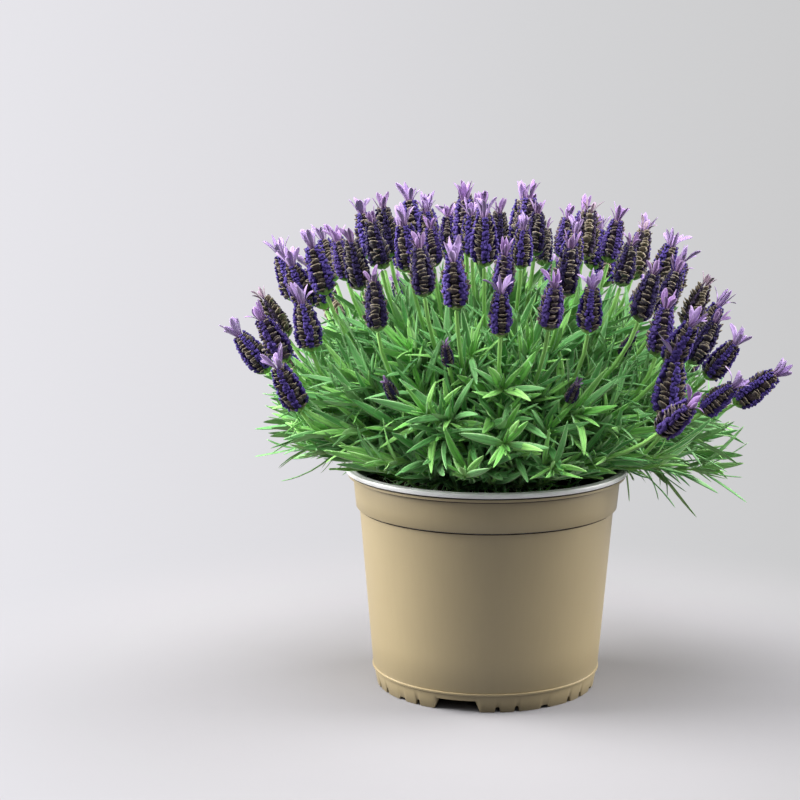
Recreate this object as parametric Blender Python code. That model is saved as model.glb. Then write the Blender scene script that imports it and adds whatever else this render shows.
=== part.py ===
"""Potted French lavender: a nursery pot, the potting mix in it and the plant that grows there.

Lengths below are in millimetres and angles in degrees. The plant stands on its pot's axis, and
everything hangs from one empty, which is moved at the end so that the origin lies on the ground
under the middle of the whole object. +Z is up and -Y is the side with the fullest bloom.
"""

import math
import random

import bmesh
import bpy
from mathutils import Matrix, Vector
from mathutils.bvhtree import BVHTree

MM = 0.001
GAP = 0.3  # between any two pieces that touch

# Pot
POT_HEIGHT = 134.0
RIM_RADIUS = 85.0
RIM_OVERHANG = 4.2  # how far the rolled rim stands out from the collar
RIM_RING_WIDTH = 4.6  # flat top of the rolled rim
RIM_ROLL_HEIGHT = 3.0
RIM_ROUNDING = 0.6
COLLAR_HEIGHT = 24.5  # from the step up to the rim's top
COLLAR_TAPER = 2.4  # how much narrower the collar is at its step
COLLAR_STEP = 2.0  # how far the body stands in under the collar
FOOT_RADIUS = 66.0
BEAD_STANDOFF = 2.3  # how far the body stands out from the foot at its bead
BEAD_HEIGHT = 11.5
BEAD_RELIEF = 0.5
BEAD_WIDTH = 1.5
WALL = 1.4
FLOOR_LIFT = 8.5
FLOOR_THICKNESS = 1.5
FLOOR_FILLET = 2.0
POT_SEGMENTS = 48

# Foot notches, which repeat around the foot
WIDE_NOTCH_COUNT = 3
WIDE_NOTCH_AZIMUTH = -104.5
WIDE_NOTCH_BASE = 28.0
WIDE_NOTCH_TOP = 22.5
WIDE_NOTCH_HEIGHT = 6.5
SMALL_NOTCH_WIDTH = 3.2
SMALL_NOTCH_HEIGHT = 3.2
SMALL_NOTCH_OFFSETS = (21.0, 31.0, 63.0, 73.0, 98.0)  # degrees after each wide notch's middle
SLOT_WIDTH = 6.2
SLOT_HEIGHT = 1.8
SLOT_OFFSETS = (46.5, 87.0)
NOTCH_OVERCUT = 1.0  # how far the cutters reach below the ground
NOTCH_REACH = 4.0  # how far they reach past the foot's wall, inwards and outwards
ARCH_STEPS = 4

# Drain holes in the floor, as rings of (count, ring radius)
DRAIN_HOLE_RADIUS = 4.5
DRAIN_HOLE_RINGS = ((6, 50.0), (3, 24.0))
DRAIN_HOLE_SIDES = 8

# Potting mix
MIX_BELOW_RIM = 14.0
MIX_WALL_CLEARANCE = 0.4
MIX_MOUND = 2.5
MIX_MOUND_RINGS = 4
MIX_RIPPLE = 1.2
MIX_SEGMENTS = 32

# Woody crown, a knuckle that every stem grows from
CROWN_RADIUS = 12.0
CROWN_TRUNK_RADIUS = 8.5
CROWN_TRUNK_HEIGHT = 3.0  # trunk that shows under the knuckle
CROWN_WAIST = -48.0  # latitude where the knuckle starts to swell
CROWN_BED = 2.5  # flat mix around the trunk
CROWN_SEGMENTS = 14
CROWN_RINGS = 6
CROWN_KNOB = 0.8

# Stems and leaves
STEM_HALF_WIDTH = 1.15
STEM_TIP_HALF_WIDTH = 0.8
LEAF_LENGTH = 36.0
LEAF_WIDTH = 4.6
LEAF_THICKNESS = 1.0
LEAF_SEAT = 2.4  # length of stem that a leaf grows from
LEAF_SPREAD = 34.0  # angle between a leaf's start and its stem
LEAF_LEAST_SPREAD = 12.0
LEAF_BOW = 26.0  # how much further the leaf has turned at its tip
LEAF_LIFT_BELOW = -0.2  # a leaf on a face that looks down more than this turns up along its stem
LEAF_LIFT_SHARE = 0.4  # what is left of its spread and bow
LEAF_CLEARANCE = 0.4
LEAF_SHRINK = (1.0, 0.88, 0.76, 0.64, 0.52, 0.4, 0.28)
LEAF_TURNS = (0.0, -9.0, 9.0, -16.0, 16.0)
LEAF_WIDTHS_ALONG = ((0.3, 1.0), (0.7, 0.86))  # share of the length, share of the width

# Flower heads: tiers from the top of the dome down to its hem
DOME_CENTRE_BELOW_RIM = 12.0
HEAD_TIERS = (
    # tilt and reach of a head's foot from the dome's centre, lean of the head, azimuths
    (9.0, 144.0, 3.0, (-125.0, 0.0, 125.0)),
    (23.0, 149.0, 9.0, (-170.0, -92.0, -20.0, 70.0, 140.0)),
    (36.0, 152.0, 15.0, (-143.0, -113.0, -62.0, 14.0, 104.0)),
    (46.0, 157.0, 20.0, (-42.0, 50.0, 178.0)),
    (57.0, 146.0, 30.0, (-161.0, -18.0, 138.0)),
    (66.0, 134.0, 28.0, (-150.0, 92.0)),
    (70.0, 155.0, 52.0, (-50.0, -8.0)),
)
FADED_HEADS = (6, 12, 19)
HEAD_RADIUS = 8.0
HEAD_TIER_COUNT = 3
HEAD_TIER_HEIGHT = 7.0
HEAD_CUP_RADIUS = 3.8
HEAD_CUP_HEIGHT = 3.0
HEAD_TOP_RADIUS = 5.0
HEAD_RANK_DEPTH = 0.13  # how far the grooves between ranks lie in, as a share of the radius
HEAD_SWELL = (0.88, 1.0, 0.9)  # each tier's share of the radius
EAR_LENGTH = 13.0
EAR_WIDTH = 7.0
EAR_THICKNESS = 1.0
EAR_FLARE = 5.0
FADED_EAR_SHARE = 0.6
STEM_LEAF_PAIRS = 3
STEM_LEAVES_FROM = 0.34  # share of the stem where its leaves begin
STEM_LEAVES_TO = 0.72

# Leafy shoots without a flower, mostly at the hem
SHOOTS = (
    # azimuth, tilt and reach of the tip from the dome's centre, lean of the tip
    (-126.0, 74.0, 102.0, 84.0),
    (-97.0, 76.0, 104.0, 88.0),
    (-68.0, 74.0, 104.0, 84.0),
    (-84.0, 50.0, 112.0, 62.0),
    (-30.0, 76.0, 118.0, 84.0),
    (18.0, 73.0, 124.0, 78.0),
    (62.0, 72.0, 114.0, 80.0),
    (114.0, 72.0, 114.0, 80.0),
    (158.0, 74.0, 108.0, 82.0),
    (-176.0, 72.0, 108.0, 84.0),
)
SHOOT_LEAF_PAIRS = 5
SHOOT_LEAVES_FROM = 0.42
SHOOT_LEAVES_TO = 0.94
SEED = 11


def clear_scene():
    """Removes every object of the scene."""
    for obj in list(bpy.data.objects):
        bpy.data.objects.remove(obj, do_unlink=True)


def finish(name, colour, roughness):
    """Makes a plain Principled material of a colour and a roughness."""
    material = bpy.data.materials.new(name)
    material.use_nodes = True
    shader = material.node_tree.nodes["Principled BSDF"]
    shader.inputs["Base Color"].default_value = (*colour, 1.0)
    shader.inputs["Roughness"].default_value = roughness
    shader.inputs["Metallic"].default_value = 0.0
    material.diffuse_color = (*colour, 1.0)
    return material


def add_object(name, mesh, material, parent):
    """Links a mesh as an object under the parent empty and gives it its material."""
    obj = bpy.data.objects.new(name, mesh)
    bpy.context.scene.collection.objects.link(obj)
    if material is not None and not mesh.materials:
        mesh.materials.append(material)
    obj.parent = parent
    return obj


def mesh_from(bm, name):
    """Turns a bmesh into a mesh of metres with outward faces and smooth sides."""
    bmesh.ops.recalc_face_normals(bm, faces=bm.faces)
    bmesh.ops.scale(bm, vec=(MM, MM, MM), verts=bm.verts)
    mesh = bpy.data.meshes.new(name)
    bm.to_mesh(mesh)
    bm.free()
    mesh.shade_smooth()
    mesh.set_sharp_from_angle(angle=math.radians(40.0))
    return mesh


def turned(profile, segments):
    """Spins an outline of (radius, height), from the axis back to the axis, into a closed body."""
    bm = bmesh.new()
    verts = [bm.verts.new((radius, 0.0, height)) for radius, height in profile]
    edges = [bm.edges.new(pair) for pair in zip(verts, verts[1:])]
    bmesh.ops.spin(
        bm,
        geom=verts + edges,
        cent=(0.0, 0.0, 0.0),
        axis=(0.0, 0.0, 1.0),
        angle=math.tau,
        steps=segments,
        use_merge=True,
    )
    bmesh.ops.remove_doubles(bm, verts=bm.verts, dist=0.001)
    return bm


def prism(bm, outline, near, far, azimuth):
    """Adds a prism with an outline of (across, height), run outwards from near to far."""
    turn = Matrix.Rotation(math.radians(azimuth), 4, "Z")
    ends = []
    for out in (near, far):
        ends.append([bm.verts.new(turn @ Vector((out, across, height))) for across, height in outline])
    bm.faces.new(ends[0])
    bm.faces.new(ends[1])
    count = len(outline)
    for i in range(count):
        j = (i + 1) % count
        bm.faces.new((ends[0][i], ends[0][j], ends[1][j], ends[1][i]))


def foot_inner_radius():
    """Radius of the foot's inner face."""
    return FOOT_RADIUS - WALL


def step_height():
    """Height of the step under the collar."""
    return POT_HEIGHT - COLLAR_HEIGHT


def floor_top():
    """Height of the floor's upper face."""
    return FLOOR_LIFT + FLOOR_THICKNESS


def outer_radius(height):
    """Outer radius of the pot's tapered body or collar at a height."""
    collar_top = RIM_RADIUS - RIM_OVERHANG
    collar_bottom = collar_top - COLLAR_TAPER
    if height >= step_height():
        share = (height - step_height()) / COLLAR_HEIGHT
        return collar_bottom + COLLAR_TAPER * share
    body_top = collar_bottom - COLLAR_STEP
    body_bottom = FOOT_RADIUS + BEAD_STANDOFF
    share = (height - BEAD_HEIGHT) / (step_height() - BEAD_HEIGHT)
    return body_bottom + (body_top - body_bottom) * share


def inner_radius(height):
    """Inner radius of the pot's wall at a height."""
    return outer_radius(height) - WALL


def pot_outline():
    """Outline of the pot's section, from its floor's underside round the rim to its floor's top."""
    step = step_height()
    under_roll = POT_HEIGHT - RIM_ROLL_HEIGHT
    rim_ledge = POT_HEIGHT - WALL
    bead = outer_radius(BEAD_HEIGHT)
    inside_corner = floor_top() + FLOOR_FILLET
    return [
        (0.0, FLOOR_LIFT),
        (foot_inner_radius(), FLOOR_LIFT),
        (foot_inner_radius(), 0.0),
        (FOOT_RADIUS, 0.0),
        (bead - BEAD_RELIEF, BEAD_HEIGHT - BEAD_WIDTH),
        (bead + BEAD_RELIEF, BEAD_HEIGHT - BEAD_WIDTH / 2.0),
        (bead + BEAD_RELIEF, BEAD_HEIGHT),
        (outer_radius(BEAD_HEIGHT + BEAD_WIDTH), BEAD_HEIGHT + BEAD_WIDTH),
        (outer_radius(step - WALL), step - WALL),
        (outer_radius(step), step),
        (outer_radius(under_roll), under_roll),
        (RIM_RADIUS - RIM_ROUNDING, under_roll),
        (RIM_RADIUS, under_roll + RIM_ROUNDING),
        (RIM_RADIUS, POT_HEIGHT - RIM_ROUNDING * 2.0),
        (RIM_RADIUS - RIM_ROUNDING * 2.0, POT_HEIGHT),
        (RIM_RADIUS - RIM_RING_WIDTH, POT_HEIGHT),
        (inner_radius(rim_ledge), rim_ledge),
        (inner_radius(step + WALL), step + WALL),
        (inner_radius(step - WALL), step - WALL),
        (inner_radius(inside_corner), inside_corner),
        (inner_radius(inside_corner) - FLOOR_FILLET, floor_top()),
        (0.0, floor_top()),
    ]


def notch_outline(base, top, height):
    """Outline of a notch that narrows from its base at the ground to its top."""
    slope = (base - top) / 2.0 / height
    low = base / 2.0 + slope * NOTCH_OVERCUT
    return [(-low, -NOTCH_OVERCUT), (low, -NOTCH_OVERCUT), (top / 2.0, height), (-top / 2.0, height)]


def arch_outline(width, height):
    """Outline of a small notch with a round top."""
    half = width / 2.0
    spring = height - half
    points = [(-half, -NOTCH_OVERCUT), (half, -NOTCH_OVERCUT)]
    for i in range(ARCH_STEPS + 1):
        angle = math.pi * i / ARCH_STEPS
        points.append((half * math.cos(angle), spring + half * math.sin(angle)))
    return points


def cut(target, cutter_bm, name, parent):
    """Subtracts the bodies of a bmesh from an object with a Boolean modifier."""
    cutter = add_object(name, mesh_from(cutter_bm, name), None, parent)
    cutter.hide_render = True
    cutter.display_type = "WIRE"
    modifier = target.modifiers.new(name, "BOOLEAN")
    modifier.operation = "DIFFERENCE"
    modifier.solver = "EXACT"
    modifier.object = cutter


def make_pot(parent):
    """Makes the pot: one thin turned shell with a notched foot and a raised, drained floor."""
    plastic = finish("pot_plastic", (0.36, 0.31, 0.22), 0.38)
    shell = mesh_from(turned(pot_outline(), POT_SEGMENTS), "nursery_pot")
    pot = add_object("nursery_pot", shell, plastic, parent)
    near = foot_inner_radius() - NOTCH_REACH
    far = FOOT_RADIUS + BEAD_STANDOFF + NOTCH_REACH
    wide = notch_outline(WIDE_NOTCH_BASE, WIDE_NOTCH_TOP, WIDE_NOTCH_HEIGHT)
    small = arch_outline(SMALL_NOTCH_WIDTH, SMALL_NOTCH_HEIGHT)
    slot = notch_outline(SLOT_WIDTH, SLOT_WIDTH - SLOT_HEIGHT, SLOT_HEIGHT)
    notches = bmesh.new()
    for i in range(WIDE_NOTCH_COUNT):
        middle = WIDE_NOTCH_AZIMUTH + 360.0 / WIDE_NOTCH_COUNT * i
        prism(notches, wide, near, far, middle)
        for offset in SMALL_NOTCH_OFFSETS:
            prism(notches, small, near, far, middle + offset)
        for offset in SLOT_OFFSETS:
            prism(notches, slot, near, far, middle + offset)
    cut(pot, notches, "foot_notch_cutter", parent)
    holes = bmesh.new()
    for count, ring_radius in DRAIN_HOLE_RINGS:
        for i in range(count):
            angle = math.tau * (i + 0.5) / count
            place = Vector((ring_radius * math.cos(angle), ring_radius * math.sin(angle), FLOOR_LIFT))
            bmesh.ops.create_cone(
                holes,
                cap_ends=True,
                segments=DRAIN_HOLE_SIDES,
                radius1=DRAIN_HOLE_RADIUS,
                radius2=DRAIN_HOLE_RADIUS,
                depth=FLOOR_THICKNESS * 3.0,
                matrix=Matrix.Translation(place),
            )
    cut(pot, holes, "drain_hole_cutter", parent)
    return pot


def mix_top():
    """Height of the potting mix at the pot's wall."""
    return POT_HEIGHT - MIX_BELOW_RIM


def mix_centre_height():
    """Height of the flat middle of the mound, which the crown stands on."""
    return mix_top() + MIX_MOUND


def make_mix(parent):
    """Makes the potting mix: the pot's filling, with a low mound and a rippled top."""
    bottom = floor_top() + GAP
    above_fillet = bottom + FLOOR_FILLET
    step = step_height()
    top = mix_top()
    edge = inner_radius(top) - MIX_WALL_CLEARANCE
    flat = CROWN_TRUNK_RADIUS + CROWN_BED
    corner = inner_radius(above_fillet) - FLOOR_FILLET - MIX_WALL_CLEARANCE
    outline = [(0.0, bottom), (corner, bottom)]
    for height in (above_fillet, step - WALL, step + WALL, top):
        outline.append((inner_radius(height) - MIX_WALL_CLEARANCE, height))
    for i in range(1, MIX_MOUND_RINGS + 1):
        share = i / MIX_MOUND_RINGS
        rise = MIX_MOUND * (1.0 - math.cos(math.pi * share)) / 2.0
        outline.append((edge + (flat - edge) * share, top + rise))
    outline.append((0.0, mix_centre_height()))
    bm = turned(outline, MIX_SEGMENTS)
    for vert in bm.verts:
        radius = math.hypot(vert.co.x, vert.co.y)
        if vert.co.z > top + GAP and radius > flat + GAP:
            angle = math.atan2(vert.co.y, vert.co.x)
            vert.co.z += MIX_RIPPLE * math.sin(5.0 * angle + radius / 9.0) * math.cos(3.0 * angle)
    earth = finish("mix_earth", (0.05, 0.033, 0.022), 0.95)
    return add_object("potting_mix", mesh_from(bm, "potting_mix"), earth, parent)


def crown_base():
    """Height of the crown's foot, just clear of the potting mix."""
    return mix_centre_height() + GAP


def crown_middle():
    """Height of the middle of the crown's knuckle, where the stems point from."""
    return crown_base() + CROWN_TRUNK_HEIGHT - CROWN_RADIUS * math.sin(math.radians(CROWN_WAIST))


def make_crown(parent):
    """Makes the crown: a short trunk that swells into a knobbly knuckle."""
    base = crown_base()
    middle = crown_middle()
    outline = [(0.0, base), (CROWN_TRUNK_RADIUS, base)]
    lowest = math.radians(CROWN_WAIST)
    for i in range(CROWN_RINGS + 1):
        latitude = lowest + (math.pi / 2.0 - lowest) * i / CROWN_RINGS
        radius = 0.0 if i == CROWN_RINGS else CROWN_RADIUS * math.cos(latitude)
        outline.append((radius, middle + CROWN_RADIUS * math.sin(latitude)))
    bm = turned(outline, CROWN_SEGMENTS)
    for vert in bm.verts:
        if vert.co.z > base + CROWN_KNOB:
            offset = vert.co - Vector((0.0, 0.0, middle))
            angle = math.atan2(offset.y, offset.x)
            knob = CROWN_KNOB * (1.0 + math.sin(4.0 * angle + offset.z / 2.0)) / 2.0
            vert.co -= offset.normalized() * knob
    bark = finish("crown_bark", (0.16, 0.11, 0.07), 0.9)
    return add_object("woody_crown", mesh_from(bm, "woody_crown"), bark, parent)


def direction(tilt):
    """Unit vector in the XZ plane at a tilt from straight up."""
    return Vector((math.sin(math.radians(tilt)), 0.0, math.cos(math.radians(tilt))))


class StemPath:
    """A stem's smooth arch in the XZ plane, from the crown to its tip."""

    def __init__(self, tilt, reach, lean):
        centre = Vector((0.0, 0.0, POT_HEIGHT - DOME_CENTRE_BELOW_RIM))
        self.tip = centre + direction(tilt) * reach
        hub = Vector((0.0, 0.0, crown_middle()))
        to_tip = self.tip - hub
        straight = math.degrees(math.atan2(to_tip.x, to_tip.z))
        start_tilt = straight + (straight - lean) * 0.35
        self.root = hub + direction(start_tilt) * (CROWN_RADIUS + GAP)
        chord = (self.tip - self.root).length
        self.root_pull = direction(start_tilt) * chord * 0.9
        self.tip_pull = direction(lean) * chord * 0.9
        self.lean = lean
        self.length = self.measure()

    def at(self, share):
        """Point at a share of the way along."""
        s, t = share, 1.0 - share
        root = self.root * (t * t * (1.0 + 2.0 * s)) + self.root_pull * (s * t * t)
        tip = self.tip * (s * s * (3.0 - 2.0 * s)) - self.tip_pull * (s * s * t)
        return root + tip

    def heading(self, share):
        """Unit tangent at a share of the way along."""
        step = 0.002
        low = max(share - step, 0.0)
        high = min(share + step, 1.0)
        return (self.at(high) - self.at(low)).normalized()

    def measure(self, steps=40):
        """Length of the arch."""
        points = [self.at(i / steps) for i in range(steps + 1)]
        return sum((b - a).length for a, b in zip(points, points[1:]))


class LeafShape:
    """The cross-sections and the tip of one leaf that grows from a stem's face."""

    def __init__(self, seat, stem, out, length, spread, bow, spare=0.0):
        across = stem.cross(out).normalized()
        self.rings = []
        steps = 12
        point = seat.copy()
        places = {}
        for i in range(steps):
            angle = math.radians(spread + bow * (i + 0.5) / steps)
            heading = stem * math.cos(angle) + out * math.sin(angle)
            point += heading * (length / steps)
            places[i + 1] = (point.copy(), angle)
        for along, width_share in LEAF_WIDTHS_ALONG:
            centre, angle = places[round(along * steps)]
            upper = stem * math.sin(angle) - out * math.cos(angle)
            half_width = (LEAF_WIDTH * width_share + spare) / 2.0
            half_depth = (LEAF_THICKNESS + spare) / 2.0
            corners = ((-1, -1), (1, -1), (1, 1), (-1, 1))
            self.rings.append([centre + across * half_width * a + upper * half_depth * b for a, b in corners])
        self.tip = places[steps][0]
        self.seat = seat
        self.across = across

    def surface(self):
        """Corners and faces of the leaf from just off its seat, for clearance tests."""
        start = self.seat + (self.tip - self.seat).normalized() * LEAF_SEAT / 2.0
        neck = [start + (corner - self.seat).normalized() * LEAF_THICKNESS / 2.0 for corner in self.rings[0]]
        rings = [neck] + self.rings
        points = [corner for ring in rings for corner in ring] + [self.tip]
        faces = []
        for k in range(len(rings) - 1):
            for i in range(4):
                j = (i + 1) % 4
                faces.append((4 * k + i, 4 * k + j, 4 * k + 4 + j, 4 * k + 4 + i))
        last = 4 * (len(rings) - 1)
        faces += [(last + i, last + (i + 1) % 4, len(points) - 1) for i in range(4)]
        return points, faces


class Thicket:
    """Every body placed so far, for keeping leaves clear of each other and of everything else."""

    def __init__(self):
        self.trees = []

    def add(self, points, faces, owner):
        """Adds a surface, given in the plant's frame."""
        self.trees.append((owner, BVHTree.FromPolygons(points, faces)))

    def add_object(self, obj):
        """Adds an object's surface."""
        scale = 1.0 / MM
        points = [obj.matrix_basis @ vert.co * scale for vert in obj.data.vertices]
        self.add(points, [tuple(poly.vertices) for poly in obj.data.polygons], obj.name)

    def clear(self, points, faces, owner):
        """Whether a surface meets none of the bodies of other owners."""
        tree = BVHTree.FromPolygons(points, faces)
        return all(name == owner or not other.overlap(tree) for name, other in self.trees)


class LeafyStem:
    """A square stem with opposite pairs of leaves, each pair turned a quarter from the last."""

    def __init__(self, name, path, azimuth, pairs, leaves_from, leaves_to):
        self.name = name
        self.path = path
        self.turn = Matrix.Rotation(math.radians(azimuth), 4, "Z")
        shares = []
        for i in range(pairs):
            share = leaves_from + (leaves_to - leaves_from) * (i / max(pairs - 1, 1))
            shares.append(share)
        self.leaf_shares = shares
        self.seat_share = LEAF_SEAT / path.length
        self.leaves = {}

    def stations(self):
        """Shares of the way along at which the stem has a cross-section."""
        found = [0.0, self.leaf_shares[0] / 2.0]
        for share in self.leaf_shares:
            found += [share, share + self.seat_share]
        found += [(self.leaf_shares[-1] + self.seat_share + 1.0) / 2.0, 1.0]
        return found

    def half_width(self, share):
        """Half of the stem's width at a share of the way along."""
        return STEM_HALF_WIDTH + (STEM_TIP_HALF_WIDTH - STEM_HALF_WIDTH) * share

    def ring(self, share):
        """The stem's square cross-section at a share of the way along."""
        centre = self.path.at(share)
        heading = self.path.heading(share)
        side = Vector((0.0, 1.0, 0.0))
        front = side.cross(heading)
        half = self.half_width(share)
        corners = ((-1, -1), (1, -1), (1, 1), (-1, 1))
        return [centre + side * half * a + front * half * b for a, b in corners]

    def face_normals(self, share):
        """Outward directions of the four faces, in the order of the cross-section's sides."""
        heading = self.path.heading(share)
        side = Vector((0.0, 1.0, 0.0))
        front = side.cross(heading)
        return (-front, side, front, -side)

    def bare_surface(self):
        """The stem without leaves, in the plant's frame."""
        rings = [self.ring(share) for share in self.stations()]
        points = [self.turn @ corner for ring in rings for corner in ring]
        faces = [(0, 1, 2, 3)]
        for k in range(len(rings) - 1):
            for i in range(4):
                j = (i + 1) % 4
                faces.append((4 * k + i, 4 * k + j, 4 * k + 4 + j, 4 * k + 4 + i))
        return points, faces

    def grow_leaves(self, thicket, rng):
        """Gives each seat the longest leaf that stays clear of the thicket."""
        for k, share in enumerate(self.leaf_shares):
            middle = share + self.seat_share / 2.0
            stem = self.path.heading(middle)
            normals = self.face_normals(middle)
            for face in (k % 2, k % 2 + 2):
                out = normals[face]
                seat = self.path.at(middle) + out * self.half_width(middle)
                wish = LEAF_LENGTH * rng.uniform(0.9, 1.06)
                spread = LEAF_SPREAD + rng.uniform(-4.0, 6.0)
                lift = LEAF_LIFT_SHARE if out.z < LEAF_LIFT_BELOW else 1.0
                bend = (spread * lift, LEAF_BOW * lift)
                self.leaves[(k, face)] = self.fitted_leaf(seat, stem, out, wish, bend, thicket)

    def fitted_leaf(self, seat, stem, out, wish, bend, thicket):
        """Shortens or turns a leaf until it is clear, and adds it to the thicket."""
        spread, bow = bend
        for share in LEAF_SHRINK:
            for turn in LEAF_TURNS:
                angle = max(spread + turn, LEAF_LEAST_SPREAD)
                roomy = LeafShape(seat, stem, out, wish * share, angle, bow, LEAF_CLEARANCE * 2.0)
                points, faces = roomy.surface()
                points = [self.turn @ point for point in points]
                if thicket.clear(points, faces, self.name):
                    thicket.add(points, faces, self.name + ".leaf")
                    return LeafShape(seat, stem, out, wish * share, angle, bow)
        return LeafShape(seat, stem, out, wish * LEAF_SHRINK[-1], spread, bow)

    def build(self, material, parent):
        """Makes the stem and its leaves as one closed body."""
        bm = bmesh.new()
        shares = self.stations()
        rings = [[bm.verts.new(corner) for corner in self.ring(share)] for share in shares]
        bm.faces.new(rings[0])
        bm.faces.new(rings[-1])
        for k in range(len(rings) - 1):
            pair = (k - 2) // 2
            on_seat = k >= 2 and k % 2 == 0 and pair < len(self.leaf_shares)
            for i in range(4):
                j = (i + 1) % 4
                quad = (rings[k][i], rings[k][j], rings[k + 1][j], rings[k + 1][i])
                leaf = self.leaves.get((pair, i)) if on_seat else None
                if leaf is None:
                    bm.faces.new(quad)
                else:
                    self.add_leaf(bm, quad, leaf)
        mesh = mesh_from(bm, self.name)
        obj = add_object(self.name, mesh, material, parent)
        obj.matrix_basis = self.turn
        return obj

    def add_leaf(self, bm, quad, leaf):
        """Runs a leaf out of an open quad of the stem."""
        # The quad runs (low, low, high, high) and so does each cross-section of the leaf.
        low_a, low_b, high_b, high_a = quad
        flip = (low_b.co - low_a.co).dot(leaf.across) < 0.0
        last = [low_a, low_b, high_b, high_a]
        for ring in leaf.rings:
            corners = [ring[i] for i in ((1, 0, 3, 2) if flip else (0, 1, 2, 3))]
            verts = [bm.verts.new(corner) for corner in corners]
            for i in range(4):
                j = (i + 1) % 4
                bm.faces.new((last[i], last[j], verts[j], verts[i]))
            last = verts
        tip = bm.verts.new(leaf.tip)
        for i in range(4):
            bm.faces.new((last[i], last[(i + 1) % 4], tip))


def rank_ring(bm, radius, height, turned_rank):
    """Adds eight points with four proud ranks and four grooves."""
    verts = []
    for i in range(8):
        proud = (i % 2 == 0) != turned_rank
        share = 1.0 if proud else 1.0 - HEAD_RANK_DEPTH
        angle = math.tau * i / 8.0
        verts.append(bm.verts.new((radius * share * math.cos(angle), radius * share * math.sin(angle), height)))
    return verts


def add_ear(bm, quad, ear_length):
    """Runs a flat ear, wider half way up and rounded off, out of an open quad of the head's top."""
    outer_a, outer_b, inner_b, inner_a = quad
    middle = (outer_a.co + outer_b.co + inner_a.co + inner_b.co) / 4.0
    out = Vector((middle.x, middle.y, 0.0)).normalized()
    across = (outer_b.co - outer_a.co).normalized()
    last = list(quad)
    for rise, width_share in ((0.55, 1.0), (1.0, 0.55)):
        centre = middle + Vector((0.0, 0.0, ear_length * rise)) + out * EAR_FLARE * rise
        half_width = EAR_WIDTH * width_share / 2.0
        half_depth = EAR_THICKNESS / 2.0
        corners = ((-1, 1), (1, 1), (1, -1), (-1, -1))
        verts = [bm.verts.new(centre + across * half_width * a + out * half_depth * b) for a, b in corners]
        for i in range(4):
            j = (i + 1) % 4
            bm.faces.new((last[i], last[j], verts[j], verts[i]))
        last = verts
    bm.faces.new(last)


def head_mesh(name, ear_count, ear_length):
    """Makes a head standing on the origin: cup, tiers of overlapping bracts and ears on top."""
    bm = bmesh.new()
    rings = [rank_ring(bm, STEM_TIP_HALF_WIDTH * 1.4, GAP, False)]
    rings.append(rank_ring(bm, HEAD_CUP_RADIUS, HEAD_CUP_HEIGHT, False))
    for i in range(HEAD_TIER_COUNT):
        base = HEAD_CUP_HEIGHT + HEAD_TIER_HEIGHT * i
        radius = HEAD_RADIUS * HEAD_SWELL[i % len(HEAD_SWELL)]
        odd = i % 2 == 1
        rings.append(rank_ring(bm, radius * 0.8, base + HEAD_TIER_HEIGHT * 0.25, odd))
        rings.append(rank_ring(bm, radius, base + HEAD_TIER_HEIGHT * 0.8, odd))
    top = HEAD_CUP_HEIGHT + HEAD_TIER_HEIGHT * HEAD_TIER_COUNT + 1.0
    rings.append(rank_ring(bm, HEAD_TOP_RADIUS, top, False))
    inner = rank_ring(bm, HEAD_TOP_RADIUS * 0.45, top + 0.8, False)
    bm.faces.new(rings[0])
    bm.faces.new(inner)
    for low, high in zip(rings, rings[1:]):
        for i in range(8):
            j = (i + 1) % 8
            bm.faces.new((low[i], low[j], high[j], high[i]))
    ears = {round(i * 8 / ear_count) % 8 for i in range(ear_count)}
    for i in range(8):
        j = (i + 1) % 8
        quad = (rings[-1][i], rings[-1][j], inner[j], inner[i])
        if i in ears:
            add_ear(bm, quad, ear_length)
        else:
            bm.faces.new(quad)
    return mesh_from(bm, name)


def head_plans():
    """Tilt, reach, lean and azimuth of every flower head, tier by tier."""
    return [(tilt, reach, lean, azimuth) for tilt, reach, lean, azimuths in HEAD_TIERS for azimuth in azimuths]


def make_plant(parent, thicket):
    """Makes the flower heads, their stems and the leafy shoots."""
    rng = random.Random(SEED)
    violet = finish("bloom_violet", (0.16, 0.1, 0.32), 0.7)
    brown = finish("faded_bloom_brown", (0.2, 0.15, 0.1), 0.8)
    green = finish("stem_green", (0.2, 0.29, 0.11), 0.6)
    fresh = finish("shoot_green", (0.25, 0.36, 0.12), 0.6)
    bloom = head_mesh("bloom_head", 4, EAR_LENGTH)
    bloom.materials.append(violet)
    faded = head_mesh("faded_head", 3, EAR_LENGTH * FADED_EAR_SHARE)
    faded.materials.append(brown)
    stems = []
    for number, (tilt, reach, lean, azimuth) in enumerate(head_plans(), start=1):
        path = StemPath(tilt, reach, lean)
        name = f"flower_stem_{number:02d}"
        stem = LeafyStem(name, path, azimuth, STEM_LEAF_PAIRS, STEM_LEAVES_FROM, STEM_LEAVES_TO)
        stems.append((stem, green))
        mesh = faded if number in FADED_HEADS else bloom
        head = add_object(f"flower_head_{number:02d}", mesh, None, parent)
        upright = Matrix.Rotation(math.radians(lean), 4, "Y")
        head.matrix_basis = stem.turn @ Matrix.Translation(path.tip * MM) @ upright
        thicket.add_object(head)
    for number, (azimuth, tilt, reach, lean) in enumerate(SHOOTS, start=1):
        path = StemPath(tilt, reach, lean)
        name = f"leafy_shoot_{number:02d}"
        shoot = LeafyStem(name, path, azimuth, SHOOT_LEAF_PAIRS, SHOOT_LEAVES_FROM, SHOOT_LEAVES_TO)
        stems.append((shoot, fresh))
    for stem, _ in stems:
        thicket.add(*stem.bare_surface(), stem.name)
    for stem, _ in stems:
        stem.grow_leaves(thicket, rng)
    for stem, material in stems:
        stem.build(material, parent)


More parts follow.
